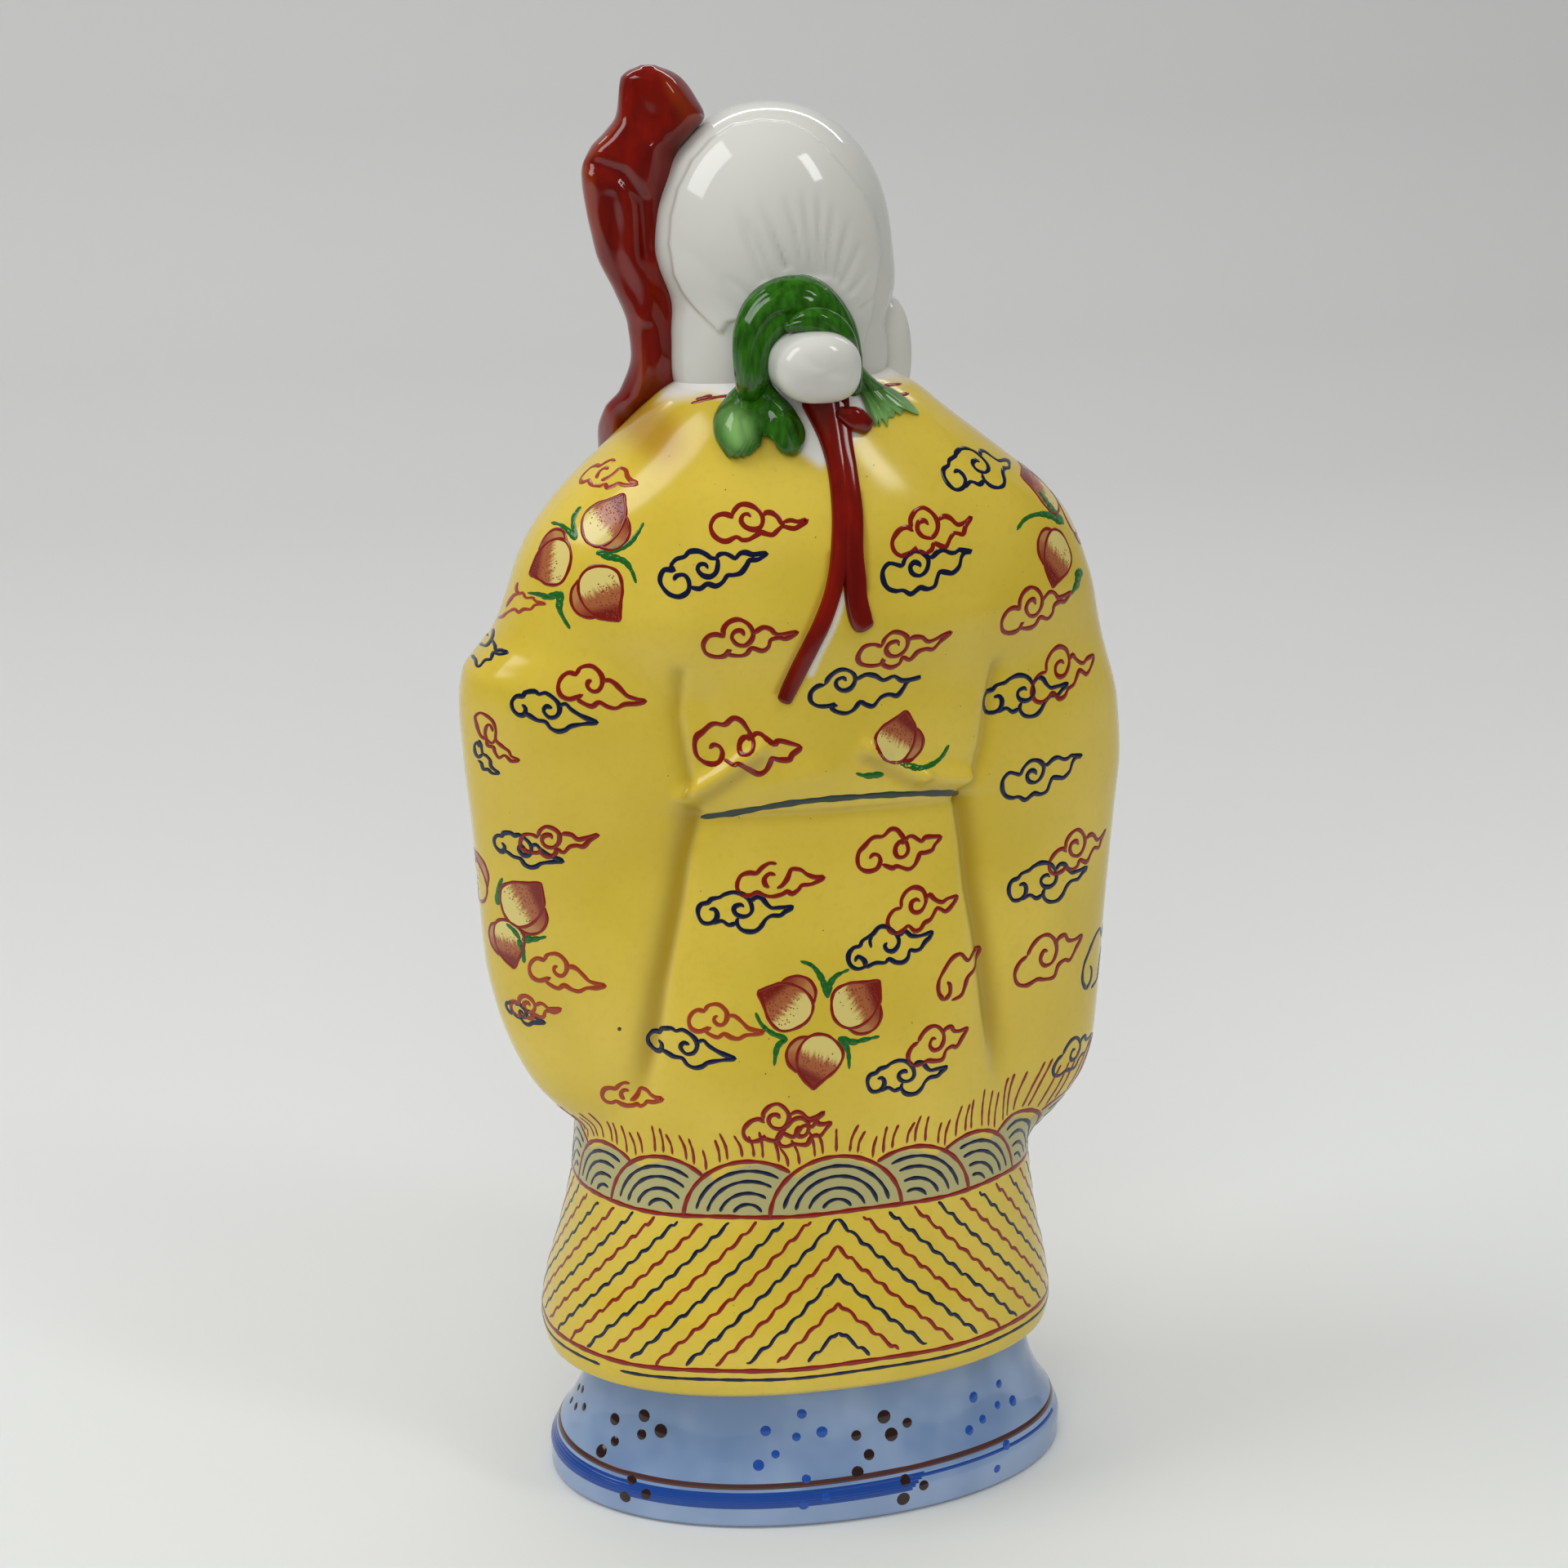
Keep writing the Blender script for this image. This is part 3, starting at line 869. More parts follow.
for bag, lines in ((rust_bag, RUST_EDGE), (navy_bag, NAVY_EDGE), (red_bag, RED_EDGE)):
    for line in lines:
        brush(bag, along_sight, [(u, -v) for u, v in line], FINE_BRUSH, gap=FINE_BRUSH / 2)
for x, z, turn, size in FRONT_PEACHES:
    place = transfer(robe_skin, *along_y(robe_skin, x, z, -1.0), np.radians(turn), size)
    for middle, tip in PEACH_GROUP:
        peach_painting(place, middle, tip, size)
    for leaf in GROUP_LEAVES:
        leaf_stroke(place, leaf)

# The hem: waves of overlapping scales on a red line, grass above them and slanting sea lines below.
# Distances run round the robe from the middle of the back, positive towards his right hand.
WAVE_LINE, WAVE_TOP, HEM_LINE = 47.0, 8.1, 25.3
hem_angle = np.linspace(np.pi / 2, np.pi / 2 + TAU, 1441)
hem_ring = robe_point(hem_angle, np.full_like(hem_angle, 38.0))[0]
hem_run = np.concatenate([[0.0], np.cumsum(np.linalg.norm(np.diff(hem_ring, axis=0), axis=1))])
AROUND = hem_run[-1]


def round_hem(s, z):
    """Lays a point of the hem pattern on the robe: distance round the robe and height."""
    angle = np.interp(s % AROUND, hem_run, hem_angle)
    outside = Vector((70.0 * np.cos(angle), 62.0 * np.sin(angle), z))
    inward = Vector((sway(z), 0.0, z)) - outside
    return robe_skin.ray_cast(outside, inward.normalized())[:2]


FEET = [-8.8, -20.6, -33.0, -43.5, -54.0, -64.5, -75.0, -85.5]
FEET_RIGHT = [8.8, 19.4, 29.6, 39.8, 50.6, 61.4, 72.2, 83.0]
scales = [(0.0, 8.8, 0)]
for k in range(1, 8):
    scales.append((FEET[k] + 8.8, 8.8, 1))
    scales.append((FEET_RIGHT[k] - 8.8, 8.8, -1))
arch_turns = np.linspace(0.0, np.pi, 40)
wash = np.zeros(robe_z.shape)
robe_run = np.interp((robe_angle - np.pi / 2) % TAU + np.pi / 2, hem_angle, hem_run)
for order, (middle, half, side) in enumerate(scales):
    cover = scales[max(0, order - 2)] if order else None
    for k, (wide, tall) in enumerate(((8.8, WAVE_TOP), (7.1, 6.7), (5.5, 5.2), (3.8, 3.5), (2.0, 1.9))):
        foot = 0.0 if k == 0 else 0.7
        arch = []
        for t in arch_turns:
            s, z = middle + wide * np.cos(t), WAVE_LINE + tall * np.sin(t)
            hidden = cover and ((s - cover[0]) / (half + (0.9 if k else 0.1))) ** 2 + (
                (z - WAVE_LINE) / (WAVE_TOP + (0.9 if k else 0.1))) ** 2 < 1.0
            if hidden or z < WAVE_LINE + foot:
                continue
            arch.append((s, z))
        if len(arch) > 2:
            brush(red_bag if k == 0 else navy_bag, round_hem, arch, 0.78 if k == 0 else 0.64)
    off = (robe_run - middle + AROUND / 2) % AROUND - AROUND / 2
    within = 1.0 - np.sqrt((off / half) ** 2 + ((robe_z - WAVE_LINE) / WAVE_TOP) ** 2)
    wash = np.maximum(wash, ease(0.0, 0.10, within) * (robe_z > WAVE_LINE))


def line_round(bag, height, width, start=-0.5, end=0.5):
    run = np.arange(start * AROUND, end * AROUND, 2.0)
    brush(bag, round_hem, [(s, height + 0.12 * np.sin(s * 0.31)) for s in run], width, gap=0.6)


line_round(red_bag, WAVE_LINE, 0.8)
line_round(red_bag, HEM_LINE, 0.85)
for start, end in ((-0.5, -0.155), (-0.143, 0.31), (0.33, 0.5)):
    line_round(navy_bag, HEM_LINE - 1.35, 0.6, start, end)

SEA_DROP, SEA_GAP = 1.10, 3.95
for side in (-1.0, 1.0):
    for k in range(-24, 5):
        apex = WAVE_LINE - 1.0 - SEA_GAP * k
        start = max(0.0, (apex - WAVE_LINE + 0.8) / SEA_DROP)
        end = min((apex - HEM_LINE - 0.6) / SEA_DROP, AROUND / 2)
        if end - start < 1.5:
            continue
        run = np.arange(start, end, 0.45)
        ripple = 0.26 * np.sin(run * 3.4 + k) + 0.06 * np.sin(run * 7.7)
        line = [(side * s, apex - SEA_DROP * s + r) for s, r in zip(run, ripple)]
        brush((navy_bag, red_bag)[k % 2], round_hem, line, 0.62, gap=0.26)
for k in range(-60, 62):
    s = 1.6 * k + 0.3 * np.sin(k * 2.3)
    tops = [WAVE_LINE + WAVE_TOP * np.sqrt(max(0.0, 1.0 - ((s - m) / h) ** 2)) for m, h, _ in scales]
    base = max(tops) + 0.7
    tall = 3.4 + 3.2 * ease(12.0, 34.0, s) * ease(60.0, 44.0, s) + 0.5 * np.sin(k * 1.9)
    lean = np.sign(s) * (0.9 + 0.35 * np.sin(k * 1.3))
    blade = [(s, base), (s + 0.25 * lean, base + 0.5 * tall), (s + lean, base + tall)]
    brush(red_bag, round_hem, blade, 0.5)

# Green line under the sash, and the brown touches where the collar meets the neck.
SASH_LINE = [(858, 1001), (900, 995), (980, 982), (1060, 975), (1120, 972), (1174, 971)]
COLLAR_TOUCHES = [[(846, 494), (868, 488), (893, 484)], [(852, 489), (872, 484)], [(1082, 472), (1104, 470)],
                  [(1092, 484), (1113, 482)]]
sash_bag = new_bag()


def on_front(x, z):
    return along_y(robe_skin, x, z, -1.0)


for bag, lines, width in ((sash_bag, [SASH_LINE], 9.0), (red_bag, COLLAR_TOUCHES, 5.0)):
    for line in lines:
        brush(bag, along_sight, [(u, -v) for u, v in line], width, gap=4.0)
for mouth in SLEEVE_MOUTHS:
    away = 2.6 if mouth[0][0] > 0 else -2.6
    for shift, bag in ((1.0, red_bag), (1.55, navy_bag)):
        brush(bag, on_front, [(x + away * shift, z) for x, z in mouth], 0.5, gap=0.6)

# Small dark specks that came up through the enamel in the kiln.
LARGEST_SPECK, SPECKS = (758.5, 1260.0), 210


def beside_robe(turn, height):
    """Lays small dots on the robe, about where it is met from a turn and height."""
    def place(a, b):
        outside = Vector((80.0 * np.cos(turn) + a, 80.0 * np.sin(turn), height + b))
        return robe_skin.ray_cast(outside, Vector((-np.cos(turn), -np.sin(turn), 0.0)))[:2]
    return place


drop(speck_bag, along_sight, LARGEST_SPECK[0], -LARGEST_SPECK[1], 3.4, 0.03)
for angle, z in zip(steady.uniform(0.0, TAU, SPECKS), steady.uniform(24.0, 156.0, SPECKS)):
    drop(speck_bag, beside_robe(angle, z), 0.0, 0.0, steady.uniform(0.06, 0.15), 0.02, 5)

CORDS = [[(-1.2, 158.4), (-1.6, 154.0), (-1.9, 150.0), (-2.0, 145.0), (-1.6, 140.1), (-1.8, 136.4),
         (-1.9, 134.0), (-2.4, 131.6), (-2.9, 130.4)], [(0.4, 158.2), (-0.3, 154.0), (-0.6, 150.0),
         (-0.5, 145.0), (0.0, 140.6), (0.5, 137.6), (1.3, 134.6), (2.6, 131.2), (3.9, 128.3), (5.2, 125.3),
         (6.4, 122.5), (7.2, 120.6)]]
x, z = robe_points[..., 0], robe_points[..., 2]
behind = robe_points[..., 1] > 0
BARE_STRIP = [(-0.1, 134.2), (1.4, 130.1), (2.9, 126.8), (3.8, 124.2)]
bare = 0.8 * ease(0.85, 0.35, path_distance(x, z, BARE_STRIP)) * behind
LEFT_OFF = [(-14.0, 158.9), (-9.0, 159.6), (-6.6, 155.6), (-3.6, 153.4), (0.0, 150.6), (1.8, 150.4),
            (4.6, 152.6), (9.0, 157.6), (14.0, 158.6), (20.0, 157.0), (26.0, 160.0), (0.0, 170.0),
            (-26.0, 163.0)]
bare = np.maximum(bare, ease(-0.6, 0.8, edge_distance(LEFT_OFF, x, z)) * behind)
bare = np.maximum(bare, ease(157.0, 159.0, z) * ~behind)
grime = bump(np.hypot(x - 21.5, z - 154.0), 4.0)
for stain in ([(-3.3, 147.0), (-3.5, 141.0), (-3.5, 135.0)],
              [(1.3, 140.0), (1.9, 136.5), (4.2, 131.0), (8.2, 121.6)]):
    grime = np.maximum(grime, 0.75 * bump(path_distance(x, z, stain), 0.55) * behind)

yellow, tree, shader, place = glaze("yellow_enamel", "#D9C55A", 0.15)
coat = over(tree, ramp(tree, noise(tree, place, 26.0), 0.35, 0.68), paint_colour("#D4B93C"), "#E0C54A")
coat = over(tree, ramp(tree, noise(tree, place, 1.1, 3.0), 0.45, 0.75, 0.0, 0.12), coat, "#B59A2E")
for name, most, swatch in (("pool", 0.85, "#A88A1C"), ("grime", 0.8, "#A9781C"), ("wash", 0.62, "#8F9C86")):
    coat = worn(tree, coat, name, 0.0, 1.0, most, swatch)
coat = over(tree, mark(tree, "bare"), coat, "#E8E7E2")
tree.links.new(coat, shader.inputs["Base Color"])
form("robe", robe_points, yellow,
     {"pool": robe_pool, "grime": grime, "wash": wash, "bare": bare})
enamel("red_enamel", red_bag, "#82180A")
enamel("rust_enamel", rust_bag, "#9C3A14")
enamel("navy_enamel", navy_bag, "#0E1634")
enamel("leaf_enamel", leaf_bag, "#1E6420")
enamel("sash_enamel", sash_bag, "#2A3A32")
enamel("blush_dots", blush_bag, "#8A2A12")
enamel("kiln_specks", speck_bag, "#4A3E1C")
blushed, tree, shader, place = glaze("peach_wash_enamel", "#D8C670", ENAMEL_ROUGHNESS)
coat = worn(tree, paint_colour("#DCCB78"), "blush", 0.0, 0.5, 1.0, "#A8623A")
coat = worn(tree, coat, "blush", 0.5, 1.0, 1.0, "#781C12")
tree.links.new(coat, shader.inputs["Base Color"])
wash_mesh = paint_mesh("peach_wash", wash_bag)
set_mark(wash_mesh, "blush", wash_bag["shades"])
dress("peach_wash", wash_mesh, blushed)


NECK_REACH, COLLAR = 12.0, 159.0


def on_robe(x, z, side=1.0):
    """How far along Y the robe stands behind (side 1) or in front (side -1); the neck, where it ends."""
    spot = along_y(robe_skin, x, z, side)[0]
    return spot.y if spot else side * NECK_REACH


# Painted rim and dots of the under-robe: a brown line over a blue band, and clusters of dots.
rim_bag, band_bag, brown_bag, dot_bag = (new_bag() for _ in range(4))


def round_foot(s, z):
    """Lays a line round the foot: degrees from the middle of the back and height."""
    turn = np.radians(90.0 + s)
    outside = Vector((70.0 * np.cos(turn) - FOOT_OFFSET, 60.0 * np.sin(turn), z))
    return skirt_skin.ray_cast(outside, (Vector((-FOOT_OFFSET, 0.0, z)) - outside).normalized())[:2]


def foot_line(bag, height, width, start, end):
    """A banding line round the foot, from one turn in degrees to another."""
    upwards = np.array([0.0, 1.0])
    turns = np.arange(start, end, 0.55)
    spots = np.stack([turns, height + 0.25 * np.sin(turns * 0.043)], -1)
    add_strip(bag, [bead_section(round_foot, spot, upwards, width, 0.05, 0.3) for spot in spots])


foot_line(rim_bag, 6.4, 0.95, -180.0, 180.0)
for height in (5.3, 4.9, 4.5, 4.1, 3.7):
    foot_line(band_bag, height, 0.7, -118.0 + 7.0 * abs(height - 4.5), 8.0 + 3.0 * height)
foot_line(band_bag, 5.1, 0.6, 20.0, 74.0)
# The dots were read from an enlargement: its corner in the photo and how much it enlarges.
FOOT_CROP = (640.0, 1560.0, 2.306)
BROWN_DOTS = [(260, 410), (343, 400), (336, 453), (390, 443), (260, 472), (222, 500), (308, 582), (348, 622),
              (289, 628), (942, 456), (1020, 403), (1086, 420), (1041, 453), (978, 510), (946, 560),
              (1080, 583), (1133, 597), (1075, 635)]
BLUE_DOTS = [(788, 395), (686, 443), (773, 460), (845, 446), (714, 509), (666, 540), (801, 579), (856, 630),
             (794, 652), (1345, 310), (1273, 348), (1341, 370), (1384, 358), (1299, 410), (1261, 441),
             (1366, 482), (1340, 550)]
for bag, dots, radius in ((brown_bag, BROWN_DOTS, 1.0), (dot_bag, BLUE_DOTS, 0.82)):
    for k, (x, y) in enumerate(dots):
        spot, normal = seen_at(skirt_skin, FOOT_CROP[0] + x / FOOT_CROP[2], FOOT_CROP[1] + y / FOOT_CROP[2])
        if spot is not None:
            drop(bag, transfer(skirt_skin, spot, normal), 0.0, 0.0, radius * (1.0 + 0.16 * np.sin(k * 2.7)),
                 0.10, 12)
for k, turn in enumerate(range(112, 270, 26)):
    for dx, dz in ((0.0, 0.0), (2.2, 0.9), (2.4, -1.9), (-0.6, -2.6), (4.8, -0.4)):
        spot, normal = round_foot(turn, 12.0)
        drop((brown_bag, dot_bag)[k % 2], transfer(skirt_skin, spot, normal), dx, dz, 0.7, 0.10, 12)
enamel("brown_rim_enamel", rim_bag, "#4C302E")
enamel("brown_enamel", brown_bag, "#2C1A18")
enamel("blue_band_enamel", band_bag, "#1C4492")
enamel("blue_dot_enamel", dot_bag, "#1E4CA2")


# Head:
# The high bald dome, the combed-back hair and the face are one white porcelain head under clear
# glaze; the strands were cut in the mould and run up from the knot.
HEAD = np.array([3.6, -3.5, 176.0])
HEAD_SIDE, HEAD_BACK, HEAD_FRONT, HEAD_UP, HEAD_DOWN, HEAD_POWER = 16.2, 15.6, 16.4, 19.2, 25.0, 2.12
HEAD_CROP = (700.0, 60.0, 3.016)
HAIR_EDGE = [(600, 290), (520, 340), (450, 420), (400, 520), (375, 620), (368, 720), (385, 830), (420, 900),
             (470, 960), (520, 1010), (555, 1045), (585, 1000), (640, 990), (760, 1120), (1060, 1120),
             (1100, 960), (1118, 860), (1130, 760), (1110, 640), (1070, 540), (1010, 460), (940, 380),
             (880, 320), (800, 280), (700, 272)]
STRANDS = [[(560, 900), (600, 930), (660, 980)], [(590, 840), (640, 880), (690, 930)], [(620, 600),
           (660, 720), (710, 850)], [(655, 640), (700, 740), (745, 850)], [(740, 690), (770, 760),
           (800, 840)], [(700, 580), (745, 680), (790, 800)], [(790, 560), (825, 680), (850, 830)],
           [(850, 540), (868, 680), (878, 830)], [(905, 545), (908, 690), (905, 830)], [(955, 590),
           (945, 700), (935, 830)], [(1010, 640), (990, 730), (968, 840)], [(1050, 720), (1020, 790),
           (990, 860)], [(1085, 800), (1050, 850), (1020, 890)], [(1110, 900), (1080, 930), (1060, 950)]]


def head_rings(carved=None):
    """Rings of the head, with brows, nose and cheeks; carved gives the hair's edge and strands."""
    turn, rise = np.meshgrid(np.linspace(0.0, TAU, 220, endpoint=False),
                             np.linspace(-0.499, 0.499, 190) * np.pi)
    c, s, up = np.cos(rise) * np.cos(turn), np.cos(rise) * np.sin(turn), np.sin(rise)
    deep = np.where(s > 0, HEAD_BACK, HEAD_FRONT)
    tall = np.where(up > 0, HEAD_UP, HEAD_DOWN)
    size = (np.abs(c / HEAD_SIDE) ** HEAD_POWER + np.abs(s / deep) ** HEAD_POWER
            + np.abs(up / tall) ** HEAD_POWER) ** (-1 / HEAD_POWER)
    x, y, z = size * c, size * s, size * up
    level = z + HEAD[2]
    jaw = ease(-3.0, -20.0, z)
    beside_staff = 1.0 - 0.12 * bump(level - 169.5, 4.5) + 0.18 * ease(165.0, 156.0, level)
    beside_ear = 1.0 + 0.05 * bump(level - 171.0, 5.0) + 0.32 * ease(168.0, 158.0, level)
    x = x * (1.0 - 0.05 * jaw) * np.where(x > 0, beside_staff, beside_ear)
    forward = 1.3 * bump(x, 9.0) * bump(level - 183.0, 7.0)
    forward += 1.0 * bump(np.abs(x) - 4.6, 3.6) * bump(level - 171.2, 1.5)
    forward -= 1.1 * bump(np.abs(x) - 4.9, 2.6) * bump(level - 168.0, 2.0)
    forward += 0.7 * bump(np.abs(x) - 4.9, 2.0) * bump(level - 167.6, 1.0)
    forward += 1.7 * bump(np.abs(x) - 7.2, 3.4) * bump(level - 163.4, 2.9)
    nose = ease(171.0, 162.8, level) * ease(161.0, 162.4, level)
    bridge = ease(173.0, 170.0, level) * ease(160.9, 162.4, level)
    forward += (0.6 + 3.2 * nose) * bump(x, 1.5 + 0.9 * nose) * bridge
    forward += 1.2 * bump(np.abs(x) - 1.9, 0.9) * bump(level - 162.9, 1.0)
    forward += 0.9 * bump(x, 2.6) * bump(level - 158.6, 1.1)
    forward += 1.0 * bump(x, 4.0) * bump(level - 155.0, 2.2)
    y = y - forward * ease(0.15, 0.6, -s)
    points = np.stack([x, y, z], -1) + HEAD
    if carved is None:
        return points
    behind = ease(-0.1, 0.2, s)
    hair, strands = carved
    raised = 0.8 * ease(-0.5, 0.45, edge_distance(hair, points[..., 0], points[..., 2])) * behind
    for line in strands:
        near = path_distance(points[..., 0], points[..., 2], line)
        fade = ease(line[0][1] + 1.5, line[0][1] - 4.0, points[..., 2])
        raised = raised - 0.42 * bump(near, 0.42) * behind * fade
    out = (points - HEAD) / np.linalg.norm(points - HEAD, axis=-1)[..., None]
    return points + out * raised[..., None]


head_bare = skin(head_rings())


def from_head_crop(points):
    """Hair lines were read from an enlargement of the photo; this lays them on the plain head."""
    left, top, scale = HEAD_CROP
    laid = [seen_at(head_bare, left + x / scale, top + y / scale)[0] for x, y in points]
    return [(p.x, p.z) for p in laid if p is not None]


head_points = head_rings((from_head_crop(HAIR_EDGE), [from_head_crop(line) for line in STRANDS]))
head_skin = skin(head_points)
white = glaze("white_porcelain", "#D2D2CB", 0.07)[0]
form("head", head_points, white)


def egg(name, middle, reach, material, turn=0.0, shape=None, rows=40, columns=56):
    """A rounded lump of clay: an egg at a place, leaning about Y, with its surface worked by shape."""
    around, rise = np.meshgrid(np.linspace(0.0, TAU, columns, endpoint=False),
                               np.linspace(-0.499, 0.499, rows) * np.pi)
    p = np.stack([np.cos(rise) * np.cos(around), np.cos(rise) * np.sin(around), np.sin(rise)], -1)
    if shape:
        p = shape(p)
    p = p * np.array(reach)
    c, s = np.cos(turn), np.sin(turn)
    p = np.stack([p[..., 0] * c + p[..., 2] * s, p[..., 1], p[..., 2] * c - p[..., 0] * s], -1)
    return form(name, p + np.array(middle), material)


def rope(name, path, radii, material, sides=40, carve=None, flatten=1.0, fine=14, marks=None):
    """A rolled or drawn-out piece of clay along a path; carve(angle, share) works its surface."""
    path, radii = np.array(path, float), np.array(radii, float)
    knots = np.linspace(0.0, 1.0, len(path))
    share = np.linspace(0.0, 1.0, fine * (len(path) - 1) + 1)
    centre = through(share, knots, path)
    radius = through(share, knots, radii)
    ahead = np.gradient(centre, axis=0)
    ahead /= np.linalg.norm(ahead, axis=1)[:, None]
    side = np.cross(ahead[0], (0.0, 1.0, 0.0))
    if np.linalg.norm(side) < 0.1:
        side = np.cross(ahead[0], (1.0, 0.0, 0.0))
    angle = np.linspace(0.0, TAU, sides, endpoint=False)
    rings, shares = [], []
    for i, point in enumerate(centre):
        side = side - ahead[i] * (side @ ahead[i])
        side /= np.linalg.norm(side)
        over = np.cross(side, ahead[i])
        scale = radius[i] * (carve(angle, share[i]) if carve else np.ones(sides))
        rings.append(point + np.outer(np.cos(angle) * scale, side)
                     + np.outer(np.sin(angle) * scale * flatten, over))
        shares.append(scale / radius[i])
    tips = []
    for end, ring in ((0, rings[0]), (-1, rings[-1])):
        outward = ahead[end] * (-1.0 if end == 0 else 1.0)
        middle = centre[end]
        proud = radius[end] * min(1.0, flatten)
        tips.append([middle + (ring - middle) * np.cos(t) + outward * proud * np.sin(t)
                     for t in (0.45, 0.85, 1.15, 1.4)])
    rings = tips[0][::-1] + rings + tips[1]
    thin = np.array([shares[0]] * 4 + shares + [shares[-1]] * 4)
    return form(name, np.array(rings), material, {"thin": thin} if marks else None)


def through(at, knots, values):
    """A curve through the values with rounded corners."""
    i = np.clip(np.searchsorted(knots, at, side="right") - 1, 0, len(knots) - 2)
    t = (at - knots[i]) / (knots[i + 1] - knots[i])
    if values.ndim > 1:
        t = t[:, None]
    last = len(values) - 1
    p0, p1 = values[np.maximum(i - 1, 0)], values[i]
    p2, p3 = values[i + 1], values[np.minimum(i + 2, last)]
    return 0.5 * (2 * p1 + (p2 - p0) * t + (2 * p0 - 5 * p1 + 4 * p2 - p3) * t**2
                  + (3 * p1 - p0 - 3 * p2 + p3) * t**3)


def fluted(count, depth, phase=0.0):
    """Shallow flutes worked round a drawn-out piece of clay."""
    def carve(angle, _):
        return 1.0 + depth * np.cos(count * angle + phase)
    return carve


def ear_shape(p):
    hollow = bump(p[..., 0] - 0.25, 0.5) * bump(p[..., 2] - 0.25, 0.45) * (p[..., 1] < 0)
    q = p.copy()
    q[..., 1] = q[..., 1] + 0.55 * hollow
    q[..., 0] = q[..., 0] * (1.0 + 0.25 * p[..., 2])
    return q


# The ear beside the staff lies in front of it.
EAR_REACH = (3.0, 2.8, 8.0)
egg("ear_right", (-13.3, -4.0, 161.5), EAR_REACH, white, 0.12, ear_shape)
egg("ear_left", (16.2, -10.5, 161.5), EAR_REACH, white, -0.05, ear_shape)

# Brows, eyes and lips are brushed in thin enamel, the features kept calm and plain.
ink_bag, lip_bag = new_bag(), new_bag()
EYE_LINE = 167.0


def on_face(a, b):
    return along_y(head_skin, HEAD[0] + a, EYE_LINE + b, -1.0)


for side in (-1.0, 1.0):
    lid = [(side * 2.6, 0.3), (side * 4.4, 1.1), (side * 6.8, 0.5), (side * 7.8, -0.4)]
    brush(ink_bag, on_face, lid, 0.36)
    brush(ink_bag, on_face, [(side * 3.2, -0.5), (side * 4.9, -0.9), (side * 6.6, -0.5)], 0.2)
    drop(ink_bag, on_face, side * 4.9, 0.1, 0.62, 0.03)
    brush(ink_bag, on_face, [(side * 7.6, -3.4), (side * 8.4, -4.6), (side * 8.6, -6.0)], 0.14)
brush(ink_bag, on_face, [(-5.4, 11.8), (0.0, 12.6), (5.4, 11.8)], 0.16)
brush(ink_bag, on_face, [(-5.0, 14.4), (0.0, 15.2), (5.0, 14.4)], 0.16)
brush(lip_bag, on_face, [(-2.3, -7.9), (-1.0, -7.6), (0.0, -7.9), (1.0, -7.6), (2.3, -7.9)], 0.5)
brush(lip_bag, on_face, [(-1.7, -8.5), (0.0, -8.9), (1.7, -8.5)], 0.6)
enamel("ink_enamel", ink_bag, "#241C1A")
enamel("lip_enamel", lip_bag, "#B4473A")

# Beard, moustache and the long brows: white locks modelled with a comb, glazed like the head.
BEARD_ROWS = [(162.0, 13.4, -9.5, 6.0), (159.0, 12.6, -12.2, 6.4), (155.0, 10.8, -15.6, 6.0),
              (150.0, 9.2, -18.2, 5.0), (144.0, 8.2, -20.2, 4.4), (137.0, 7.4, -22.0, 4.0),
              (130.0, 6.4, -23.4, 3.7), (123.0, 5.2, -24.4, 3.4), (117.0, 3.6, -25.0, 3.0),
              (112.5, 1.6, -25.2, 2.2), (110.5, 0.5, -25.0, 1.2)]
beard_z = np.linspace(162.0, 110.5, 170)
around, z = np.meshgrid(np.linspace(0.0, TAU, 220, endpoint=False), beard_z)
wide, middle, thick = (smooth_table(z, [(row[0], row[k]) for row in BEARD_ROWS[::-1]]) for k in (1, 2, 3))
shift = 2.6 + 0.8 * np.sin((z - 110.0) / 9.0) * ease(158.0, 130.0, z)
locks = (0.09 * np.cos(9.0 * around + 0.05 * z + np.sin(z / 11.0))
         + 0.025 * np.cos(34.0 * around + np.sin(z / 7.0)))
comb = 1.0 + locks * ease(161.0, 156.0, z)
beard_rings = np.stack([shift + wide * np.cos(around) * (0.985 + 0.015 * comb),
                        middle + thick * np.sin(around) * comb, z], -1)
form("beard", beard_rings[::-1], white)


def combed(angle, share):
    return 1.0 + 0.07 * np.cos(5.0 * angle + 3.0 * share) + 0.03 * np.cos(13.0 * angle)


def beside(middle, side, points):
    """A row of points laid out to one side of the middle of a paired form."""
    return [(middle + side * across, y, z) for across, y, z in points]


MOUSTACHE = [(0.6, -19.6, 161.0), (3.0, -19.8, 160.2), (5.4, -19.4, 157.4), (6.6, -19.6, 152.0),
             (6.2, -21.0, 146.0)]
LONG_BROW = [(2.0, -19.4, 171.4), (5.0, -18.9, 172.2), (8.4, -17.2, 170.6), (10.4, -15.6, 166.4),
             (10.8, -14.8, 162.0)]
SIDES = (("right", -1.0), ("left", 1.0))
for name, side in SIDES:
    rope("moustache_" + name, beside(HEAD[0], side, MOUSTACHE), [0.9, 1.3, 1.5, 1.3, 0.5], white, 32, combed,
         0.8)
    rope("brow_" + name, beside(HEAD[0], side, LONG_BROW), [0.7, 1.1, 1.2, 1.0, 0.4], white, 32, combed, 0.8)


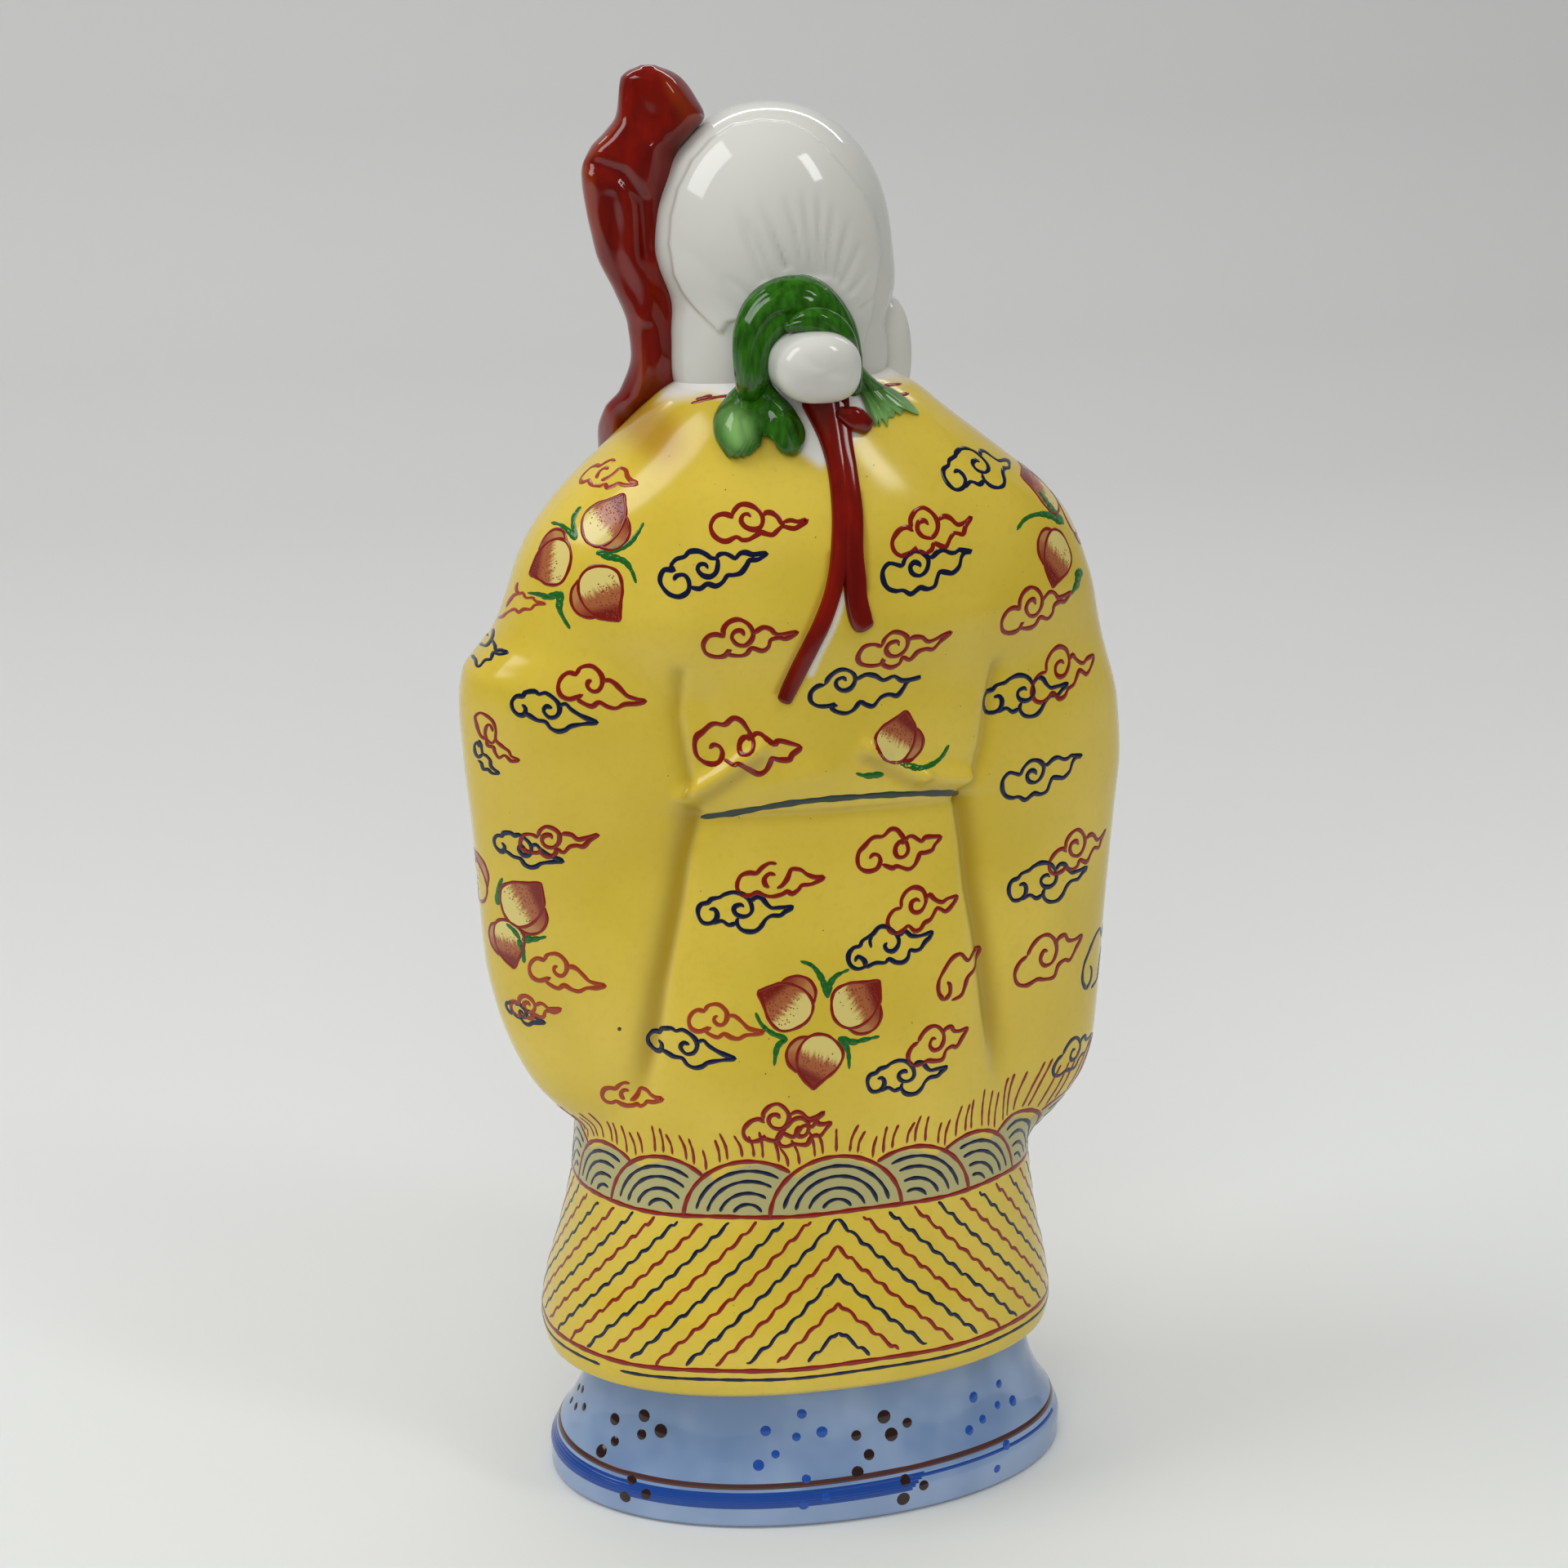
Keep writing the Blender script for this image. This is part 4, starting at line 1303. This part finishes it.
# Hair knot:
# The white drum of hair on the nape and the green kerchief tied round it, its ends on the
# shoulders; glazed green, streaked where the brush dragged and pale where the glaze ran thin.
def blunt(p):
    around = np.arctan2(p[..., 2:], p[..., 0:1])
    uneven = 1.0 + 0.012 * np.cos(3.0 * around + 0.6) + 0.006 * np.cos(5.0 * around - 1.0)
    return np.sign(p) * np.abs(p) ** np.array([0.86, 0.45, 0.86]) * uneven


def drawn_out(tree, place, share):
    """Stretches a pattern upwards into streaks."""
    return add_node(tree, "ShaderNodeMapping", {}, {0: place, 3: (1.0, 1.0, share)}).outputs[0]


egg("hair_bun", (2.4, 17.6, 163.6), (5.6, 6.8, 4.55), white, 0.0, blunt, 60, 80)
green, tree, shader, place = glaze("green_glaze", "#2E7D1F", 0.10)
streaks = noise(tree, drawn_out(tree, place, 0.28), 0.9, 3.0)
coat = over(tree, ramp(tree, streaks, 0.25, 0.75), paint_colour("#1A4404"), "#2F6C10")
coat = worn(tree, coat, "thin", 1.0, 1.07, 0.55, "#3E8A33")
coat = worn(tree, coat, "pale", 0.0, 1.0, 0.9, "#8ABB6C")
tree.links.new(coat, shader.inputs["Base Color"])


def twisted(angle, share):
    turn = angle + 1.9 * share
    return 1.0 + 0.012 * np.cos(7.0 * turn) + 0.008 * np.cos(19.0 * turn + 2.0) - 0.10 * bump(
        np.angle(np.exp(1j * (turn - 2.3))), 0.16)


rope("kerchief", [(9.2, 10.4, 157.6), (9.6, 13.6, 161.8), (8.9, 13.4, 166.8), (6.4, 12.6, 169.6),
                  (2.6, 12.8, 170.3), (-1.0, 13.4, 167.6), (-2.9, 14.2, 164.0), (-3.6, 14.4, 160.0)],
     [1.5, 2.3, 3.2, 4.1, 4.1, 3.1, 1.9, 1.2], green, 96, twisted, 1.0, 20, True)
rope("kerchief_inner", [(5.6, 17.4, 168.6), (3.4, 18.0, 169.2), (1.0, 18.0, 168.9), (-1.2, 17.4, 167.2),
                        (-2.7, 16.4, 164.6), (-3.2, 15.4, 161.0)],
     [0.7, 1.7, 1.9, 1.7, 1.2, 0.8], green, 64, twisted, 1.0, 16, True)


def leaf_of_clay(name, outline, middle, lift, thick, folds, material, pale=None):
    """A flattened end of cloth that lies on the robe: its outline, its swell and the folds in it."""
    edge = rounded(outline, 0.22)[:-1]
    centre = np.array(middle)
    rings, paleness = [], []
    for share, swell in ([(t, -1.0) for t in np.linspace(0.02, 0.93, 8)]
                         + [(0.965, -0.86), (0.985, -0.6), (1.0, -0.15), (1.0, 0.25)]
                         + [(t, np.sqrt(1.0 - t**4) * 0.75 + 0.25) for t in np.linspace(0.985, 0.02, 26)]):
        flat = centre + (edge - centre) * share
        ring = []
        for x, z in flat:
            base = on_robe(x, min(z, COLLAR)) - 0.7
            relief = sum(h * bump(line_distance(x, z, a, b), w) for a, b, h, w in folds)
            top = swell * (thick + relief) if swell > 0 else 0.6 * swell
            ring.append((x, base + lift * ease(149.0, 161.0, z) + top, z))
        rings.append(ring)
        paleness.append([pale(x, z) if pale and swell > 0 else 0.0 for x, z in flat])
    even = np.ones((len(rings), len(edge)))
    return form(name, np.array(rings), material, {"pale": np.array(paleness), "thin": even}, 70.0)


TAIL = [(10.7, 160.6), (12.1, 158.9), (13.6, 157.4), (14.4, 155.9), (14.5, 154.1), (13.9, 152.6),
        (13.2, 151.6), (12.8, 151.9), (12.4, 151.5), (11.9, 151.9), (11.4, 151.6), (11.0, 152.1),
        (10.6, 151.9), (10.0, 152.4), (9.6, 152.8), (9.2, 153.0), (8.9, 153.9), (8.3, 154.2), (7.7, 153.8),
        (7.1, 153.4), (6.9, 152.6), (6.1, 152.0), (4.9, 151.8), (3.8, 152.6), (3.2, 153.9), (3.2, 155.2),
        (3.9, 156.8), (4.8, 158.3), (6.1, 159.6), (7.0, 160.8), (7.6, 162.0), (10.2, 162.0), (10.7, 160.6)]
TAIL_RAGGED = [(-3.7, 162.6), (-4.3, 160.4), (-5.3, 158.6), (-5.7, 157.2), (-6.1, 155.6), (-6.7, 154.7),
               (-6.9, 155.5), (-7.3, 154.6), (-7.7, 155.5), (-8.4, 154.5), (-8.8, 155.6), (-9.6, 155.5),
               (-10.0, 156.1), (-10.7, 155.7), (-11.5, 156.3), (-12.3, 155.9), (-13.6, 155.4),
               (-13.2, 156.4), (-12.0, 157.6), (-10.6, 158.6), (-8.9, 159.4), (-7.3, 160.6), (-5.2, 162.6),
               (-3.7, 162.6)]


def worn_lobe(x, z):
    return float(bump(np.hypot((x - 12.0) / 1.2, (z - 155.2) / 1.6), 1.6))


def worn_hem(_, z):
    return 0.25 + 0.5 * float(ease(159.4, 155.2, z))


leaf_of_clay("kerchief_end", TAIL, (8.7, 157.0), 2.6, 2.4,
             [((6.4, 159.5), (4.8, 153.2), 1.3, 0.9), ((8.1, 157.4), (8.6, 154.4), -0.5, 0.7),
              ((12.6, 158.4), (12.8, 153.0), 0.7, 1.4), ((7.6, 159.4), (6.4, 157.8), 0.7, 0.5),
              ((11.2, 156.4), (10.4, 152.6), -0.5, 0.6)], green,
             worn_lobe)
leaf_of_clay("kerchief_end_ragged", TAIL_RAGGED, (-7.4, 158.4), 0.8, 1.3,
             [((-4.6, 161.5), (-6.9, 155.4), 0.5, 0.5), ((-5.0, 161.5), (-8.8, 156.6), 0.5, 0.5),
              ((-5.6, 161.6), (-11.4, 156.8), 0.5, 0.5), ((-4.9, 161.4), (-7.9, 156.0), -0.4, 0.4)], green,
             worn_hem)


# Cords:
# Two flat cords hang from the knot down the back, laid on in clay and glazed dark red.
red_brown, tree, shader, place = glaze("dark_red_glaze", "#7A1C0C", 0.09)
streaks = noise(tree, drawn_out(tree, place, 0.3), 2.6, 3.0)
coat = over(tree, ramp(tree, streaks, 0.2, 0.8), paint_colour("#600500"), "#7E1001")
coat = worn(tree, coat, "thin", 1.03, 1.16, 0.6, "#94380A")
tree.links.new(coat, shader.inputs["Base Color"])
CORD_RADII = [[2.2, 1.5, 1.3, 1.35, 1.45, 1.5, 1.5, 1.55, 1.4],
              [2.6, 1.7, 1.3, 1.25, 1.2, 1.15, 1.1, 1.15, 1.15, 1.15, 1.1, 1.0]]
for name, cord, radii in zip(("short", "long"), CORDS, CORD_RADII):
    path = [(x, on_robe(x, min(z, COLLAR)) + (0.35 if z < 157 else 1.2), z) for x, z in cord]
    rope("cord_" + name, path, radii, red_brown, 40, fluted(4.0, 0.05, 2.0), 0.52, 16, True)
bow = [(-1.8, on_robe(-1.8, 156.4) + 1.7, 156.9), (-3.5, on_robe(-3.5, 156.0) + 1.7, 156.1),
       (-5.1, on_robe(-5.1, 155.2) + 1.0, 155.1)]
rope("cord_bow", bow, [0.9, 1.6, 1.3], red_brown, 36, None, 0.7, 16, True)


# Staff:
# A gnarled root held at his left shoulder, modelled by hand and glazed dark red, thin and amber
# on its ridges. Rows: height, edge on his left, edge on his right, middle along Y, half depth.
STAFF = [(199.9, 20.4, 18.4, -4.5, 1.4), (199.2, 22.1, 16.4, -4.5, 3.0), (198.3, 23.0, 15.0, -4.5, 4.1),
         (196.0, 23.4, 13.2, -4.5, 4.9), (193.5, 23.8, 12.0, -4.6, 5.2), (191.5, 25.2, 13.6, -4.6, 5.4),
         (189.5, 27.1, 15.4, -4.6, 5.6), (186.1, 28.4, 16.4, -4.6, 5.7), (181.8, 27.9, 17.2, -4.6, 5.2),
         (176.1, 26.8, 17.2, -4.6, 4.7), (170.7, 24.3, 16.2, -4.6, 4.2), (166.2, 22.6, 15.6, -4.6, 3.8),
         (162.3, 22.3, 15.6, -4.8, 3.7), (157.4, 23.5, 15.8, -6.4, 3.7), (154.5, 25.3, 16.6, -8.8, 3.9),
         (151.5, 25.7, 17.6, -11.6, 4.1), (148.6, 25.4, 18.2, -14.2, 4.1), (144.0, 24.9, 18.0, -17.6, 4.0)]
STAFF_FOOT = [(131.0, 19.8), (123.0, 17.8), (113.0, 16.6), (102.0, 16.2), (88.0, 16.6), (72.0, 17.2),
              (56.0, 17.8), (42.0, 18.4), (26.0, 18.8), (14.0, 18.8)]
STAFF_HOLLOWS = [([(27.8, 187.8), (23.8, 186.4), (21.2, 183.0), (20.6, 176.0)], 1.1, 1.0), ([(22.6, 197.0),
                 (19.6, 191.5), (17.2, 188.6)], 0.9, 1.5), ([(25.2, 183.5), (24.4, 176.0), (21.6, 169.0)],
                 0.6, 1.0), ([(20.4, 166.0), (20.0, 158.0)], 0.5, 0.9), ([(24.2, 155.0), (21.4, 150.0)], 0.6,
                 1.0)]
staff_rows = list(STAFF)
for z, x in STAFF_FOOT:
    proud = 1.9 + 2.0 * bump(z - 117.0, 7.0)
    y = on_robe(x, z, -1.0) - proud if z > 24 else staff_rows[-1][3] + 0.5
    staff_rows.append((z, x + 2.9, x - 2.9, y, 2.8))
staff_rows = np.array(staff_rows[::-1])
staff_z = np.concatenate([np.linspace(14.0, 150.0, 170), np.linspace(150.6, 198.0, 110),
                          np.linspace(198.2, 199.95, 12)])
left, right, deep_mid, half_deep = (smooth_table(staff_z, list(zip(staff_rows[:, 0], staff_rows[:, k])))
                                    for k in (1, 2, 3, 4))
angle, level = np.meshgrid(np.linspace(0.0, TAU, 96, endpoint=False), staff_z)
gnarl = (0.07 * np.cos(3.0 * angle + level / 16.0) + 0.045 * np.cos(5.0 * angle - level / 9.0)
         + 0.03 * np.sin(level / 2.9 + 2.0 * angle) + 0.02 * np.sin(level / 1.3 + 4.0 * angle))
middle, half = (left + right) / 2, (left - right) / 2
x = middle[:, None] + half[:, None] * np.cos(angle) * (1.0 + 0.35 * gnarl)
y = deep_mid[:, None] + half_deep[:, None] * np.sin(angle) * (1.0 + gnarl)
dent = np.zeros(x.shape)
for line, depth, width in STAFF_HOLLOWS:
    dent = dent + depth * bump(path_distance(x, level, line), width) * ease(-0.1, 0.3, np.sin(angle))
y = y - dent
staff_thin = 1.0 + gnarl - 0.10 * dent + 0.05 * np.abs(np.cos(angle)) ** 6
form("staff", np.stack([x, y, level], -1), red_brown, {"thin": staff_thin})


# Hands, peach and sash:
# The sides turned away from the photo: his left hand closed round the staff, his right hand under
# a ripe peach, cuffs behind both, and the knotted sash between the sleeves.
for name, x, y, z in (("hand_left", 16.6, -27.0, 115.5), ("hand_right", -10.0, -26.0, 110.5)):
    egg(name, (x, y, z), (5.0, 5.2, 4.6), white)


def finger(name, path, radii):
    rope(name, path, radii, white, 24, None, 1.0, 8)


for k in range(4):
    z = 119.0 - 2.3 * k
    round_staff = [(20.6, -28.0, z), (19.8, -32.2, z), (16.4, -33.6, z - 0.2), (12.9, -31.8, z - 0.3),
                   (12.6, -28.6, z - 0.2)]
    finger("finger_left_%d" % k, round_staff, [1.1, 1.25, 1.25, 1.15, 0.9])
    x = -14.6 + 2.5 * k
    under_peach = [(x, -27.0, 109.6), (x - 0.2, -31.8, 109.8), (x - 0.2, -34.2, 112.2),
                   (x - 0.1, -34.0, 114.8)]
    finger("finger_right_%d" % k, under_peach, [1.2, 1.3, 1.2, 0.9])
finger("thumb_left", [(12.6, -26.8, 118.0), (11.6, -29.6, 120.2), (12.6, -31.6, 122.2)], [1.4, 1.4, 1.0])
CUFF = [(7.0, -17.0, 112.0), (2.0, -22.5, 112.6), (-2.0, -25.6, 112.8)]
for name, side, x in (("cuff_left", 1.0, 21.5), ("cuff_right", -1.0, -16.0)):
    rope(name, beside(x, side, CUFF), [9.0, 8.0, 6.8], yellow, 64, fluted(6.0, 0.03), 0.9, 12)


def fruit(p):
    q = p.copy()
    tip = ease(0.35, 1.0, p[..., 2])
    q[..., 0] = p[..., 0] * (1.0 - 0.42 * tip)
    q[..., 1] = p[..., 1] * (1.0 - 0.42 * tip)
    q[..., 2] = p[..., 2] + 0.16 * tip
    return q * (1.0 - 0.10 * bump(p[..., 0], 0.16) * (p[..., 1] < 0))[..., None]


ripe, tree, shader, place = glaze("blushed_peach_glaze", "#E6D9A0")
high = add_node(tree, "ShaderNodeSeparateXYZ", {}, {0: place}).outputs["Z"]
coat = over(tree, ramp(tree, high, 116.0 * MM, 125.5 * MM), paint_colour("#E6DDB0"), "#B8432E")
tree.links.new(coat, shader.inputs["Base Color"])
PEACH_MIDDLE = (-10.6, -29.6, 118.2)
egg("peach", PEACH_MIDDLE, (6.5, 6.24, 6.5), ripe, 0.12, fruit, 60, 90)
leaf_green = glaze("leaf_green_glaze", "#2F7A32")[0]
PEACH_LEAF = [(2.0, -33.0, 112.4), (5.4, -33.0, 114.4), (8.2, -31.0, 117.4)]
for name, side in SIDES:
    rope("peach_leaf_" + name, beside(PEACH_MIDDLE[0], side, PEACH_LEAF), [0.8, 1.9, 0.4], leaf_green, 30,
         fluted(8.0, 0.06), 0.4, 12)
orange = glaze("orange_sash_glaze", "#B5521F")[0]
egg("sash_knot", (0.0, -21.6, 101.5), (3.4, 2.4, 2.6), orange)
SASH_LOOP = [(1.0, -22.6, 101.8), (4.6, -23.4, 103.4), (7.0, -22.6, 101.0), (4.4, -22.8, 99.4)]
SASH_END = [(100.0, 1.2), (92.0, 2.2), (82.0, 2.8), (72.0, 3.0), (64.0, 3.6), (60.0, 3.9)]
for name, side in SIDES:
    loop = beside(0.0, side, SASH_LOOP)
    rope("sash_loop_" + name, loop, [1.2, 1.5, 1.6, 0.9], orange, 30, combed, 0.7, 10)
    higher = 2.0 if side > 0 else 0.0
    path = [(side * x, on_robe(side * x, z, -1.0) + 0.3, z + higher) for z, x in SASH_END]
    rope("sash_end_" + name, path, [1.5, 1.7, 1.9, 2.1, 2.3, 2.3], orange, 36, combed, 0.5, 14)
